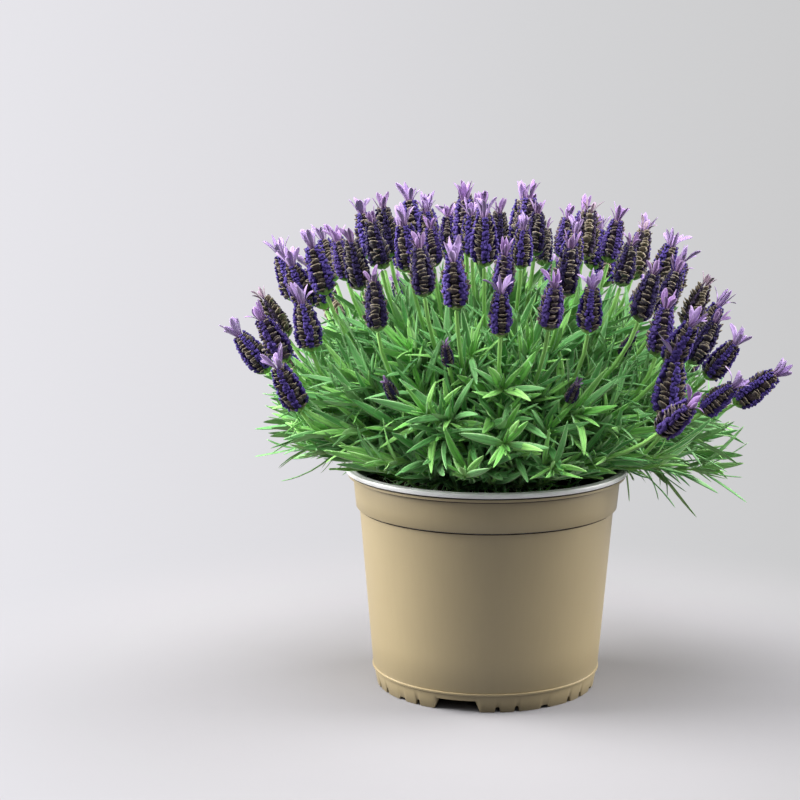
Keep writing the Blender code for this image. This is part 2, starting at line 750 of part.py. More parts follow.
def centre_on_origin(root):
    """Moves the empty so that the object's box stands centred on the origin."""
    bpy.context.view_layer.update()
    lows = [math.inf, math.inf]
    highs = [-math.inf, -math.inf]
    for obj in root.children:
        if obj.hide_render:
            continue
        for vert in obj.data.vertices:
            place = obj.matrix_world @ vert.co
            for axis in range(2):
                lows[axis] = min(lows[axis], place[axis])
                highs[axis] = max(highs[axis], place[axis])
    root.location = (-(lows[0] + highs[0]) / 2.0, -(lows[1] + highs[1]) / 2.0, 0.0)
    bpy.context.view_layer.update()


def main():
    """Builds the whole object."""
    clear_scene()
    root = bpy.data.objects.new("pot_axis", None)
    bpy.context.scene.collection.objects.link(root)
    thicket = Thicket()
    for piece in (make_pot(root), make_mix(root), make_crown(root)):
        thicket.add_object(piece)
    make_plant(root, thicket)
    centre_on_origin(root)


main()
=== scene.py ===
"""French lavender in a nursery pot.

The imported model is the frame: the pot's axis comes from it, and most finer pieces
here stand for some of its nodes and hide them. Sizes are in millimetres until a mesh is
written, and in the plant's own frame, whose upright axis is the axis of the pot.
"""

import logging
import math
from dataclasses import dataclass, field
from enum import Enum
from typing import Any, Callable, Iterable, Sequence

import bpy
import numpy as np
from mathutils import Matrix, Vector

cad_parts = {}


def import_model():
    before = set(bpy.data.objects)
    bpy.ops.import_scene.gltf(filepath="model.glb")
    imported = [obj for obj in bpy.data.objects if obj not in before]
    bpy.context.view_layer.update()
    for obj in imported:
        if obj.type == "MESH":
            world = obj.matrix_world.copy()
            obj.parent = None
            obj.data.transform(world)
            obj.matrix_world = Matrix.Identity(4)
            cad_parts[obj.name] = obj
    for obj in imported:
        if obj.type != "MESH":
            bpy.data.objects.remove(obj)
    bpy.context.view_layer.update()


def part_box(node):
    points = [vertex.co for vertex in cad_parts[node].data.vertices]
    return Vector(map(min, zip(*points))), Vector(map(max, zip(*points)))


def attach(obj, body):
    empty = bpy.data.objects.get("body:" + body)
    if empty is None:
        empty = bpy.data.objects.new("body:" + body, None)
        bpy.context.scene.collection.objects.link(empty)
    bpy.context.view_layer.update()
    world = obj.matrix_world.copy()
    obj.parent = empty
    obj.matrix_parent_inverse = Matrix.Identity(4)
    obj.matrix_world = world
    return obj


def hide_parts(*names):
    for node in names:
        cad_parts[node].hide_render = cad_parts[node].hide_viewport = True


MM = 0.001
MAP_NAME = "OFBake"
BODY = "root"
SEED = 7
GOLDEN_ANGLE = 137.508

UP = np.array([0.0, 0.0, 1.0])

log = logging.getLogger("lavender")

Colour = tuple[float, float, float, float]


def tone(red: float, green: float, blue: float) -> Colour:
    """Turns a display colour into a linear one.

    Args:
        red: Red, from 0 to 255.
        green: Green, from 0 to 255.
        blue: Blue, from 0 to 255.

    Returns:
        The linear colour, with full alpha.
    """
    linear = []
    for channel in (red, green, blue):
        share = channel / 255.0
        linear.append(share / 12.92 if share <= 0.04045 else ((share + 0.055) / 1.055) ** 2.4)
    return (linear[0], linear[1], linear[2], 1.0)


def lerp(low: Any, high: Any, share: Any) -> Any:
    """Value at a share of the way from low to high."""
    return low + (high - low) * share


# ---- shader graphs


def both_ways(operation: str) -> tuple[Callable[..., "Wire"], Callable[..., "Wire"]]:
    """Makes a wire's methods for one operation.

    Args:
        operation: Name that Math, Vector Math and Mix share.

    Returns:
        The method and its reflected form.
    """
    return (
        lambda wire, other: wire.sum_with(operation, wire, other),
        lambda wire, other: wire.sum_with(operation, other, wire),
    )


@dataclass(eq=False)
class Wire:
    """An output socket of a graph that takes part in sums.

    Values go through Math nodes, vectors through Vector Math and colours through Mix.
    """

    graph: "Graph"
    socket: bpy.types.NodeSocket

    @property
    def kind(self) -> str:
        """VALUE, VECTOR or RGBA."""
        return self.socket.type

    def sum_with(self, operation: str, left: Any, right: Any) -> "Wire":
        """Adds the node for one operation.

        Args:
            operation: Name that Math, Vector Math and Mix share.
            left: First operand, a wire or a number.
            right: Second operand, a wire or a number.

        Returns:
            The result.
        """
        kinds = {side.kind for side in (left, right) if isinstance(side, Wire)}
        if "RGBA" in kinds:
            settings = {"data_type": "RGBA", "blend_type": operation}
            return self.graph.node("ShaderNodeMix", settings, {0: 1.0, 6: left, 7: right}, 2)
        if "VECTOR" in kinds:
            return self.graph.node("ShaderNodeVectorMath", {"operation": operation}, {0: left, 1: right})
        return self.graph.node("ShaderNodeMath", {"operation": operation}, {0: left, 1: right})

    __add__, __radd__ = both_ways("ADD")
    __sub__, __rsub__ = both_ways("SUBTRACT")
    __mul__, __rmul__ = both_ways("MULTIPLY")
    __truediv__, __rtruediv__ = both_ways("DIVIDE")

    def apply(self, operation: str) -> "Wire":
        """Value after a Math operation of one operand."""
        return self.graph.node("ShaderNodeMath", {"operation": operation}, {0: self})

    def over(self, limit: float) -> "Wire":
        """1 where the value is over a limit, 0 elsewhere."""
        return self.sum_with("GREATER_THAN", self, limit)

    def smooth(self, low: float, high: float) -> "Wire":
        """Value eased from 0 at low to 1 at high."""
        settings = {"interpolation_type": "SMOOTHSTEP"}
        return self.graph.node("ShaderNodeMapRange", settings, {0: self, 1: low, 2: high})

    def axes(self) -> tuple["Wire", "Wire", "Wire"]:
        """The three parts of a vector."""
        node = self.graph.node("ShaderNodeSeparateXYZ", {}, {0: self}).socket.node
        return tuple(Wire(self.graph, out) for out in node.outputs[:3])


class Graph:
    """The nodes of one material, with one method that adds any of them."""

    def __init__(self, name: str) -> None:
        """Makes an empty material.

        Args:
            name: Name of the material.
        """
        self.material = bpy.data.materials.new(name)
        self.material.use_nodes = True
        self.tree = self.material.node_tree
        self.tree.nodes.clear()

    def node(
        self, kind: str, settings: dict | None = None, inputs: dict | None = None, output: int = 0
    ) -> Wire:
        """Adds a node.

        Args:
            kind: Type of the node.
            settings: Its settings, set first. "stops" are a ramp's places and colours.
            inputs: Values or wires, by the name or number of the input.
            output: Number of the output that is returned.

        Returns:
            The output.
        """
        node = self.tree.nodes.new(kind)
        for key, value in (settings or {}).items():
            if key == "stops":
                self.set_stops(node.color_ramp, value)
            else:
                setattr(node, key, value)
        for key, value in (inputs or {}).items():
            target = node.inputs[key]
            if isinstance(value, Wire):
                self.tree.links.new(value.socket, target)
            elif target.type == "VECTOR" and isinstance(value, (int, float)):
                target.default_value = (value, value, value)
            elif target.type == "RGBA" and isinstance(value, (int, float)):
                target.default_value = (value, value, value, 1.0)
            else:
                target.default_value = value
        return Wire(self, node.outputs[output])

    @staticmethod
    def set_stops(ramp: bpy.types.ColorRamp, stops: Sequence[tuple[float, Colour]]) -> None:
        """Gives a ramp its stops.

        Args:
            ramp: Ramp of a Color Ramp node.
            stops: Place and colour of each stop.
        """
        while len(ramp.elements) < len(stops):
            ramp.elements.new(1.0)
        for element, (place, colour) in zip(ramp.elements, stops):
            element.position = place
            element.color = colour

    def ramp(self, value: Wire, stops: Sequence[tuple[float, Colour]]) -> Wire:
        """Colour of a ramp at a value."""
        return self.node("ShaderNodeValToRGB", {"stops": stops}, {0: value})

    def mix(self, share: Any, low: Any, high: Any) -> Wire:
        """Colour at a share of the way from low to high."""
        return self.node("ShaderNodeMix", {"data_type": "RGBA"}, {0: share, 6: low, 7: high}, 2)

    def pick(self, number: Wire, tints: Sequence[Any]) -> Wire:
        """Picks a tint.

        Args:
            number: Number of the tint, such as a column or a row.
            tints: Tints, from number 0.

        Returns:
            The tint.
        """
        colour = tints[0]
        for after, tint in enumerate(tints[1:]):
            colour = self.mix(number.over(after + 0.5), colour, tint)
        return colour

    def noise(self, place: Wire, scale: float, detail: float = 2.0, roughness: float = 0.5) -> Wire:
        """Value of a noise at a place."""
        inputs = {"Vector": place, "Scale": scale, "Detail": detail, "Roughness": roughness}
        return self.node("ShaderNodeTexNoise", {}, inputs)

    def stretch(self, place: Wire, along: tuple[float, float, float]) -> Wire:
        """Place with each axis scaled."""
        return self.node("ShaderNodeVectorMath", {"operation": "MULTIPLY"}, {0: place, 1: along})

    def fleck(self, place: Wire, along: tuple[float, float], detail: float) -> Wire:
        """Value of a noise whose grains are drawn out over a cell of a map."""
        return self.noise(self.stretch(place, (*along, 1.0)), 1.0, detail)

    def place(self) -> Wire:
        """Place in the piece's own frame, in metres."""
        return self.node("ShaderNodeTexCoord", {}, {}, 3)

    def bump(self, height: Wire, strength: float, depth: float) -> Wire:
        """Normal of a surface with a bump of a depth in millimetres."""
        inputs = {"Strength": strength, "Distance": depth * MM, "Height": height}
        return self.node("ShaderNodeBump", {}, inputs)

    def finish(self, inputs: dict[str, Any]) -> bpy.types.Material:
        """Ends the graph in a Principled shader with these values and wires."""
        return self.close(self.node("ShaderNodeBsdfPrincipled", {}, inputs))

    def close(self, shader: Wire) -> bpy.types.Material:
        """Ends the graph in any shader.

        Args:
            shader: Shader that shows.

        Returns:
            The material.
        """
        output = self.tree.nodes.new("ShaderNodeOutputMaterial")
        self.tree.links.new(shader.socket, output.inputs["Surface"])
        return self.material


@dataclass(frozen=True)
class TintSheet:
    """A map that is cut into cells, one for each tint, which many small forms share.

    Attributes:
        columns: Cells across.
        rows: Cells up.
        margin: Share of a cell left free at each side.
    """

    columns: int = 8
    rows: int = 4
    margin: float = 0.04

    def place(self, local: np.ndarray, cells: np.ndarray) -> np.ndarray:
        """Puts the local maps of forms into their cells.

        Args:
            local: Map of one form, corners x 2, from 0 to 1.
            cells: Column and row of each form.

        Returns:
            Map of all forms, forms x corners x 2.
        """
        inner = self.margin + local * (1.0 - 2.0 * self.margin)
        grid = np.array([self.columns, self.rows], float)
        return (cells[:, None, :] + inner[None, :, :]) / grid

    def read(self, graph: Graph) -> "SheetReader":
        """Adds the nodes that find a surface's place in its cell."""
        return SheetReader(graph, self)


PLAIN_SHEET = TintSheet(1, 1, 0.0)


class SheetReader:
    """Where a surface lies in its cell, as wires.

    The wires are across, 0 at the midrib and 1 at both edges; along, 0 at the base and
    1 at the tip; under, 1 on the lower side; column and row; and chance, a random
    value of the cell.
    """

    def __init__(self, graph: Graph, sheet: TintSheet) -> None:
        """Adds the nodes.

        Args:
            graph: Graph to add to.
            sheet: Sheet to read.
        """
        spot = graph.node("ShaderNodeUVMap", {"uv_map": MAP_NAME})
        grid = graph.stretch(spot, (sheet.columns, sheet.rows, 0.0))
        cell = graph.node("ShaderNodeVectorMath", {"operation": "FLOOR"}, {0: grid})
        inner = (grid - cell - sheet.margin) / (1.0 - 2.0 * sheet.margin)
        self.round, self.along, _ = inner.axes()
        self.column, self.row, _ = cell.axes()
        self.across = ((self.round * 2.0).apply("FRACT") * 2.0 - 1.0).apply("ABSOLUTE")
        self.under = self.round.over(0.5)
        self.grid = grid
        settings = {"noise_dimensions": "2D"}
        self.chance = graph.node("ShaderNodeTexWhiteNoise", settings, {"Vector": cell})


# ---- finishes


@dataclass(frozen=True)
class Finish:
    """What all finishes of the plant and its pot have in common."""

    name: str

    def material(self) -> bpy.types.Material:
        """Makes the material."""
        graph = Graph(self.name)
        return graph.finish(self.inputs(graph))

    def inputs(self, graph: Graph) -> dict[str, Any]:
        """Adds the nodes.

        Args:
            graph: Graph to add to.

        Returns:
            What feeds each input of the shader.
        """
        raise NotImplementedError


@dataclass(frozen=True)
class PotPlastic(Finish):
    """Satin moulded plastic, with a faint flow of the melt and soft scuffs."""

    colour: Colour
    scuff: Colour
    roughness: float = 0.36

    def inputs(self, graph: Graph) -> dict[str, Any]:
        """Adds the nodes.

        Args:
            graph: Graph to add to.

        Returns:
            What feeds each input of the shader.
        """
        place = graph.place()
        cloud = graph.noise(place, 22.0, 3.0)
        flow = graph.noise(graph.stretch(place, (1.0, 1.0, 0.08)), 420.0, 2.0)
        grain = graph.noise(place, 2600.0, 2.0)
        scuffs = graph.noise(graph.stretch(place, (1.0, 1.0, 5.0)), 70.0, 6.0, 0.7).smooth(0.62, 0.78)
        shade = cloud * 0.10 + flow * 0.05 + grain * 0.04 + 0.905
        colour = graph.mix(scuffs * 0.16, self.colour, self.scuff) * shade
        return {
            "Base Color": colour,
            "Roughness": self.roughness + scuffs * 0.12 + cloud * 0.08,
            "Normal": graph.bump(grain * 0.7 + flow * 0.3, 0.25, 0.05),
            "Specular IOR Level": 0.9,
            "Coat Weight": 0.35,
            "Coat Roughness": 0.42,
        }


@dataclass(frozen=True)
class BarkMix(Finish):
    """Dark peat and bark, damp in the hollows, with pale fibres."""

    name: str = "bark_mix"

    def inputs(self, graph: Graph) -> dict[str, Any]:
        """Adds the nodes.

        Args:
            graph: Graph to add to.

        Returns:
            What feeds each input of the shader.
        """
        place = graph.place()
        crumbs = graph.noise(place, 260.0, 8.0, 0.68)
        damp = graph.noise(place, 34.0, 3.0)
        fibre = graph.noise(graph.stretch(place, (1.0, 5.0, 2.0)), 210.0, 4.0).smooth(0.64, 0.72)
        browns = [(0.28, tone(20, 14, 10)), (0.5, tone(52, 37, 27)), (0.66, tone(84, 62, 44))]
        earth = graph.ramp(crumbs, [*browns, (0.8, tone(122, 94, 66))])
        colour = graph.mix(fibre * 0.4, earth, tone(150, 122, 88)) * (damp * 0.7 + 0.6)
        return {
            "Base Color": colour,
            "Roughness": 0.98 - damp * 0.2,
            "Normal": graph.bump(crumbs, 0.9, 1.6),
            "Specular IOR Level": 0.25,
        }


@dataclass(frozen=True)
class WoodyBark(Finish):
    """Grey-brown, splitting bark of the crown and of the oldest stems."""

    name: str = "woody_bark"

    def inputs(self, graph: Graph) -> dict[str, Any]:
        """Adds the nodes.

        Args:
            graph: Graph to add to.

        Returns:
            What feeds each input of the shader.
        """
        place = graph.place()
        plates = graph.noise(graph.stretch(place, (1.0, 1.0, 0.22)), 520.0, 6.0, 0.62)
        lichen = graph.noise(place, 160.0, 3.0).smooth(0.58, 0.7)
        browns = [(0.32, tone(42, 30, 22)), (0.5, tone(96, 76, 56)), (0.7, tone(142, 122, 96))]
        bark = graph.ramp(plates, browns)
        return {
            "Base Color": graph.mix(lichen * 0.3, bark, tone(136, 140, 112)),
            "Roughness": 0.94 - plates * 0.15,
            "Normal": graph.bump(plates, 1.0, 0.9),
            "Specular IOR Level": 0.2,
        }


LEAF_SHEET = TintSheet(8, 4)


class LeafAge(Enum):
    """Row of the leaf sheet: young, grown, a darker inner row that is painted shade for leaves deep in the
    plant, and old grey leaves.
    """

    YOUNG = 0
    GROWN = 1
    SHADED_INNER = 2
    GREY = 3


@dataclass(frozen=True)
class LeafSkin(Finish):
    """Downy leaf skin: sunk midrib, rolled pale edges and a tint for each cell."""

    name: str = "leaf_skin"
    greens: tuple[tuple[Colour, Colour], ...] = (
        (tone(118, 194, 88), tone(146, 208, 110)),
        (tone(86, 160, 80), tone(124, 180, 114)),
        # the third pair is darker: painted shade for leaves deep in the plant and among the flower stems
        (tone(60, 128, 62), tone(88, 152, 82)),
        (tone(110, 158, 106), tone(150, 176, 134)),
    )

    def inputs(self, graph: Graph) -> dict[str, Any]:
        """Adds the nodes.

        Args:
            graph: Graph to add to.

        Returns:
            What feeds each input of the shader.
        """
        leaf = LEAF_SHEET.read(graph)
        tints = [graph.mix(leaf.chance, deep, light) for deep, light in self.greens]
        colour = graph.pick(leaf.row, tints)
        down = graph.fleck(leaf.grid, (26.0, 60.0), 3.0)
        blotch = graph.fleck(leaf.grid, (2.0, 7.0), 2.0)
        rib = 1.0 - leaf.across.smooth(0.04, 0.22)
        margin = leaf.across.smooth(0.66, 0.98)
        veins = (leaf.along * 42.0 - leaf.across * 7.0).apply("SINE").smooth(0.2, 1.0)
        base = 1.0 - leaf.along.smooth(0.0, 0.3)
        colour = graph.mix(margin * 0.5, colour, tone(184, 208, 160))
        # painted shade: the upper side is darker along the sunk midrib
        colour = graph.mix(rib * 0.34 * (1.0 - leaf.under), colour, tone(64, 112, 56))
        colour = graph.mix(leaf.under * 0.45, colour, tone(160, 190, 140))
        colour = graph.mix(base * 0.4, colour, tone(176, 206, 112))
        colour = colour * (down * 0.34 + blotch * 0.3 + veins * 0.06 + 0.7)
        height = down * 0.25 + margin * 0.4 - rib * 0.6 + veins * 0.2 + 0.6
        return {
            "Base Color": colour,
            "Roughness": down * 0.22 + 0.46,
            "Normal": graph.bump(height, 0.6, 0.25),
            "Specular IOR Level": 0.35,
            "Sheen Weight": 0.28,
            "Sheen Roughness": 0.4,
            "Sheen Tint": tone(226, 240, 214),
        }


STEM_SHEET = TintSheet(4, 2)


class StemAge(Enum):
    """Row of the stem sheet."""

    GREEN = 0
    WOODY = 1


@dataclass(frozen=True)
class StemSkin(Finish):
    """Square green stem with pale corners, woody towards its foot."""

    name: str = "stem_skin"

    def inputs(self, graph: Graph) -> dict[str, Any]:
        """Adds the nodes.

        Args:
            graph: Graph to add to.

        Returns:
            What feeds each input of the shader.
        """
        stem = STEM_SHEET.read(graph)
        length = graph.ramp(
            stem.along,
            [
                (0.0, tone(92, 80, 56)),
                (0.2, tone(96, 122, 62)),
                (0.45, tone(100, 158, 70)),
                (1.0, tone(132, 190, 92)),
            ],
        )
        wood = graph.ramp(stem.along, [(0.0, tone(86, 68, 52)), (1.0, tone(122, 102, 76))])
        hairs = graph.fleck(stem.grid, (30.0, 420.0), 2.0)
        corners = ((stem.round * 4.0).apply("FRACT") * 2.0 - 1.0).apply("ABSOLUTE").smooth(0.5, 1.0)
        colour = graph.mix(stem.row.over(0.5), length, wood)
        colour = graph.mix(corners * 0.25, colour, tone(170, 206, 132))
        colour = colour * (hairs * 0.4 + stem.chance * 0.2 + 0.7)
        return {
            "Base Color": colour,
            "Roughness": hairs * 0.2 + 0.5,
            "Normal": graph.bump(hairs * 0.5 + corners * 0.5, 0.5, 0.2),
            "Specular IOR Level": 0.3,
            "Sheen Weight": 0.2,
        }


HEAD_SHEET = TintSheet(4, 5)


class HeadStage(Enum):
    """Column of the head sheet: how far a flower head has come."""

    BLOOM = 0
    VIOLET = 1
    DUSKY = 2
    FADED = 3


class HeadPart(Enum):
    """Row of the head sheet."""

    BRACT = 0
    FLORET = 1
    EAR = 2
    CUP = 3
    CORE = 4


@dataclass(frozen=True)
class HeadFinish(Finish):
    """What the finishes of a head's parts have in common: one tint for each stage."""

    tints: tuple[Colour, Colour, Colour, Colour]


@dataclass(frozen=True)
class BractSkin(HeadFinish):
    """Papery bract: ribbed fan, pale worn edge, and a dark foot that is painted shade deep in the head."""

    edge: Colour = tone(186, 172, 140)
    # painted shade: near-black colour for the bract's foot, deep in the head
    foot: Colour = tone(24, 18, 28)

    def inputs(self, graph: Graph) -> dict[str, Any]:
        """Adds the nodes.

        Args:
            graph: Graph to add to.

        Returns:
            What feeds each input of the shader.
        """
        fan = HEAD_SHEET.read(graph)
        ribs = (fan.across * 16.0).apply("SINE").smooth(-0.4, 1.0)
        fuzz = graph.fleck(fan.grid, (26.0, 26.0), 3.0)
        rim = fan.across.smooth(0.62, 1.0) + fan.along.smooth(0.74, 0.98)
        # painted shade: the bract darkens towards its foot
        foot = 1.0 - fan.along.smooth(0.08, 0.5)
        colour = graph.mix(rim * 0.5, graph.pick(fan.column, self.tints), self.edge)
        colour = graph.mix(foot * 0.7, colour, self.foot)
        colour = colour * (ribs * 0.22 + fuzz * 0.5 + 0.6)
        return {
            "Base Color": colour,
            "Roughness": 0.72,
            "Normal": graph.bump(ribs * 0.6 + fuzz * 0.4, 0.6, 0.25),
            "Specular IOR Level": 0.25,
            "Sheen Weight": 0.25,
        }


@dataclass(frozen=True)
class FloretVelvet(HeadFinish):
    """Velvety floret, deep in its tube, with a painted highlight that makes it brighter at its mouth."""

    # painted highlight: the lighter colour at the floret's open mouth
    mouth: Colour = tone(104, 86, 170)

    def inputs(self, graph: Graph) -> dict[str, Any]:
        """Adds the nodes.

        Args:
            graph: Graph to add to.

        Returns:
            What feeds each input of the shader.
        """
        floret = HEAD_SHEET.read(graph)
        fuzz = graph.fleck(floret.grid, (34.0, 34.0), 3.0)
        # painted highlight: the mouth lightens, most on the blooming columns
        mouth = floret.along.smooth(0.5, 0.85)
        mouth_highlight = 1.0 - floret.column.smooth(0.5, 2.4)
        colour = graph.mix(mouth * mouth_highlight * 0.55, graph.pick(floret.column, self.tints), self.mouth)
        colour = colour * (fuzz * 0.9 + 0.5)
        return {
            "Base Color": colour,
            "Roughness": 0.8,
            "Normal": graph.bump(fuzz, 0.8, 0.3),
            "Specular IOR Level": 0.2,
            "Sheen Weight": 0.3,
            "Sheen Tint": tone(140, 120, 220),
        }


@dataclass(frozen=True)
class EarPetal(HeadFinish):
    """Thin, veined ear, darker at its narrow foot."""

    foot: Colour = tone(112, 70, 112)

    def inputs(self, graph: Graph) -> dict[str, Any]:
        """Adds the nodes.

        Args:
            graph: Graph to add to.

        Returns:
            What feeds each input of the shader.
        """
        ear = HEAD_SHEET.read(graph)
        veins = ((ear.across - ear.along * 0.35) * 19.0).apply("SINE").smooth(0.1, 1.0)
        rib = 1.0 - ear.across.smooth(0.02, 0.16)
        cloud = graph.fleck(ear.grid, (6.0, 10.0), 3.0)
        foot = 1.0 - ear.along.smooth(0.02, 0.55)
        tip = ear.along.smooth(0.7, 1.0)
        colour = graph.mix(foot * 0.6, graph.pick(ear.column, self.tints), self.foot)
        colour = graph.mix(tip * 0.3, colour, tone(206, 178, 224))
        colour = graph.mix(veins * 0.28 + rib * 0.25, colour, tone(112, 76, 150))
        colour = colour * (cloud * 0.4 + 0.8)
        return {
            "Base Color": colour,
            "Roughness": 0.6,
            "Normal": graph.bump(veins * 0.6 + rib * 0.4, 0.5, 0.2),
            "Specular IOR Level": 0.3,
            "Sheen Weight": 0.2,
        }


@dataclass(frozen=True)
class CupGreen(HeadFinish):
    """Green of the cup and its whorl, and the dark core above them, painted near-black as the shade inside
    the head.
    """

    # painted shade: near-black colour for the core, seen between the bracts and florets
    core: Colour = tone(46, 37, 47)

    def inputs(self, graph: Graph) -> dict[str, Any]:
        """Adds the nodes.

        Args:
            graph: Graph to add to.

        Returns:
            What feeds each input of the shader.
        """
        cup = HEAD_SHEET.read(graph)
        hairs = graph.fleck(cup.grid, (30.0, 30.0), 2.0)
        tip = cup.along.smooth(0.3, 1.0)
        colour = graph.mix(tip * 0.4, graph.pick(cup.column, self.tints), tone(110, 96, 100))
        # painted shade: the core above the cup takes the near-black colour
        colour = graph.mix(cup.row.over(3.5) * cup.along.smooth(0.14, 0.3), colour, self.core)
        return {
            "Base Color": colour * (hairs * 0.5 + 0.75),
            "Roughness": 0.65,
            "Normal": graph.bump(hairs, 0.5, 0.2),
            "Specular IOR Level": 0.25,
        }


@dataclass(frozen=True)
class StudioPaper:
    """Pale sweep of paper: it takes shadows near the pot and fades far off into a glow of painted light,
    brighter on the left where the key light stands.

    Attributes:
        name: Name of the finish.
        shown: Colour of the paper near the pot.
        bounced: Colour of the light it returns to the room.
        glow: Places, from left to right, and colours of the glow, painted light that dims towards the right.
        eye: X and Y of the place that it is seen from, in metres.
        near: Distance from the pot where the fade begins, in metres.
        far: Distance where it ends.
    """

    eye: tuple[float, float]
    name: str = "studio_paper"
    shown: Colour = tone(137, 136, 139)
    bounced: Colour = tone(104, 104, 106)
    glow: tuple[tuple[float, Colour], ...] = (
        (0.0, tone(231, 230, 235)),
        (0.35, tone(222, 221, 225)),
        (0.7, tone(211, 211, 213)),
        (1.0, tone(204, 204, 205)),
    )
    near: float = 0.17
    far: float = 0.4

    def material(self) -> bpy.types.Material:
        """Makes the material.

        Returns:
            The material.
        """
        graph = Graph(self.name)
        place = graph.place()
        flat = graph.stretch(place, (1.0, 1.0, 0.0))
        eye = (self.eye[0], self.eye[1], 0.0)
        from_eye = graph.node("ShaderNodeVectorMath", {"operation": "DISTANCE"}, {0: flat, 1: eye}, 1)
        x, y, _ = place.axes()
        # painted light: the far sweep glows, brighter on the left and a little brighter nearer the front
        sideways = ((x - self.eye[0]) / from_eye + 0.228) / 0.374
        tooth = graph.noise(place, 60.0, 3.0)
        nearer = 1.0 - (y - self.eye[1]).smooth(0.3, 2.2)
        glow = graph.ramp(sideways, self.glow) * (tooth * 0.01 + nearer * 0.01 + 0.995)
        centre = (self.eye[0], self.eye[1] + 1.25, 0.0)
        away = graph.node("ShaderNodeVectorMath", {"operation": "DISTANCE"}, {0: place, 1: centre}, 1)
        matt = {"Roughness": 1.0, "Specular IOR Level": 0.0}
        paper = graph.mix(tooth * 0.03, self.shown, self.bounced)
        close = graph.node("ShaderNodeBsdfPrincipled", {}, {"Base Color": paper, **matt})
        # the far sweep is black paper that shows only the painted glow
        dark = {"Base Color": tone(0, 0, 0), "Emission Color": glow, "Emission Strength": 1.0, **matt}
        distant = graph.node("ShaderNodeBsdfPrincipled", {}, dark)
        fade = away.smooth(self.near, self.far)
        shown = graph.node("ShaderNodeMixShader", {}, {0: fade, 1: close, 2: distant})
        bounced = graph.node("ShaderNodeBsdfPrincipled", {}, {"Base Color": self.bounced, **matt})
        direct = graph.node("ShaderNodeLightPath")
        return graph.close(graph.node("ShaderNodeMixShader", {}, {0: direct, 1: bounced, 2: shown}))


# ---- closed forms


def full_turn(sides: int) -> np.ndarray:
    """Even angles round a full turn, in radians."""
    return math.tau * np.arange(sides) / sides


def hoop(radius: Any, level: Any, angle: np.ndarray) -> np.ndarray:
    """Points round the upright axis, at radii and heights, for angles in radians."""
    x = radius * np.cos(angle)
    return np.stack([x, radius * np.sin(angle), np.broadcast_to(level, x.shape)], -1)


def in_scene(name: str, data: Any) -> bpy.types.Object:
    """Puts a new object into the scene.

    Args:
        name: Name of the object.
        data: Its mesh, light or camera.

    Returns:
        The object.
    """
    thing = bpy.data.objects.new(name, data)
    bpy.context.scene.collection.objects.link(thing)
    return thing


def smooth_over(mesh: bpy.types.Mesh) -> None:
    """Shades all faces of a mesh smooth."""
    mesh.polygons.foreach_set("use_smooth", np.ones(len(mesh.polygons), bool))


@dataclass(frozen=True)
class Loft:
    """A closed form: rings of points strung between two end points.

    Attributes:
        shares: Where each ring lies along the form, from 0 to 1.
        points: Points in each ring.
    """

    shares: tuple[float, ...]
    points: int

    @property
    def size(self) -> int:
        """Points in one form."""
        return len(self.shares) * self.points + 2

    def faces(self) -> tuple[np.ndarray, np.ndarray]:
        """Lists the faces of one form.

        Returns:
            Quads and triangles, as point numbers.
        """
        ring = np.arange(self.points)
        after = (ring + 1) % self.points
        quads = []
        for k in range(len(self.shares) - 1):
            low, high = k * self.points, (k + 1) * self.points
            quads.append(np.stack([low + ring, low + after, high + after, high + ring], 1))
        start = len(self.shares) * self.points
        last = start - self.points
        foot = np.stack([np.full(self.points, start), after, ring], 1)
        tip = np.stack([np.full(self.points, start + 1), last + ring, last + after], 1)
        return np.concatenate(quads), np.concatenate([foot, tip])

    def maps(self) -> tuple[np.ndarray, np.ndarray]:
        """Lays the faces of one form out, round it and along it.

        Returns:
            Map of the quads' and of the triangles' corners.
        """
        left = np.arange(self.points) / self.points
        right = left + 1.0 / self.points
        middle = (left + right) / 2.0
        first, last = self.shares[0], self.shares[-1]

        def corners(across: tuple[np.ndarray, ...], along: tuple[float, ...]) -> np.ndarray:
            """Map of the corners of a ring of faces."""
            pairs = [np.stack([u, np.full(self.points, v)], 1) for u, v in zip(across, along)]
            return np.stack(pairs, 1).reshape(-1, 2)

        bands = zip(self.shares, self.shares[1:])
        quads = [corners((left, right, right, left), (low, low, high, high)) for low, high in bands]
        foot = corners((middle, right, left), (0.0, first, first))
        tip = corners((middle, left, right), (1.0, last, last))
        return np.concatenate(quads), np.concatenate([foot, tip])


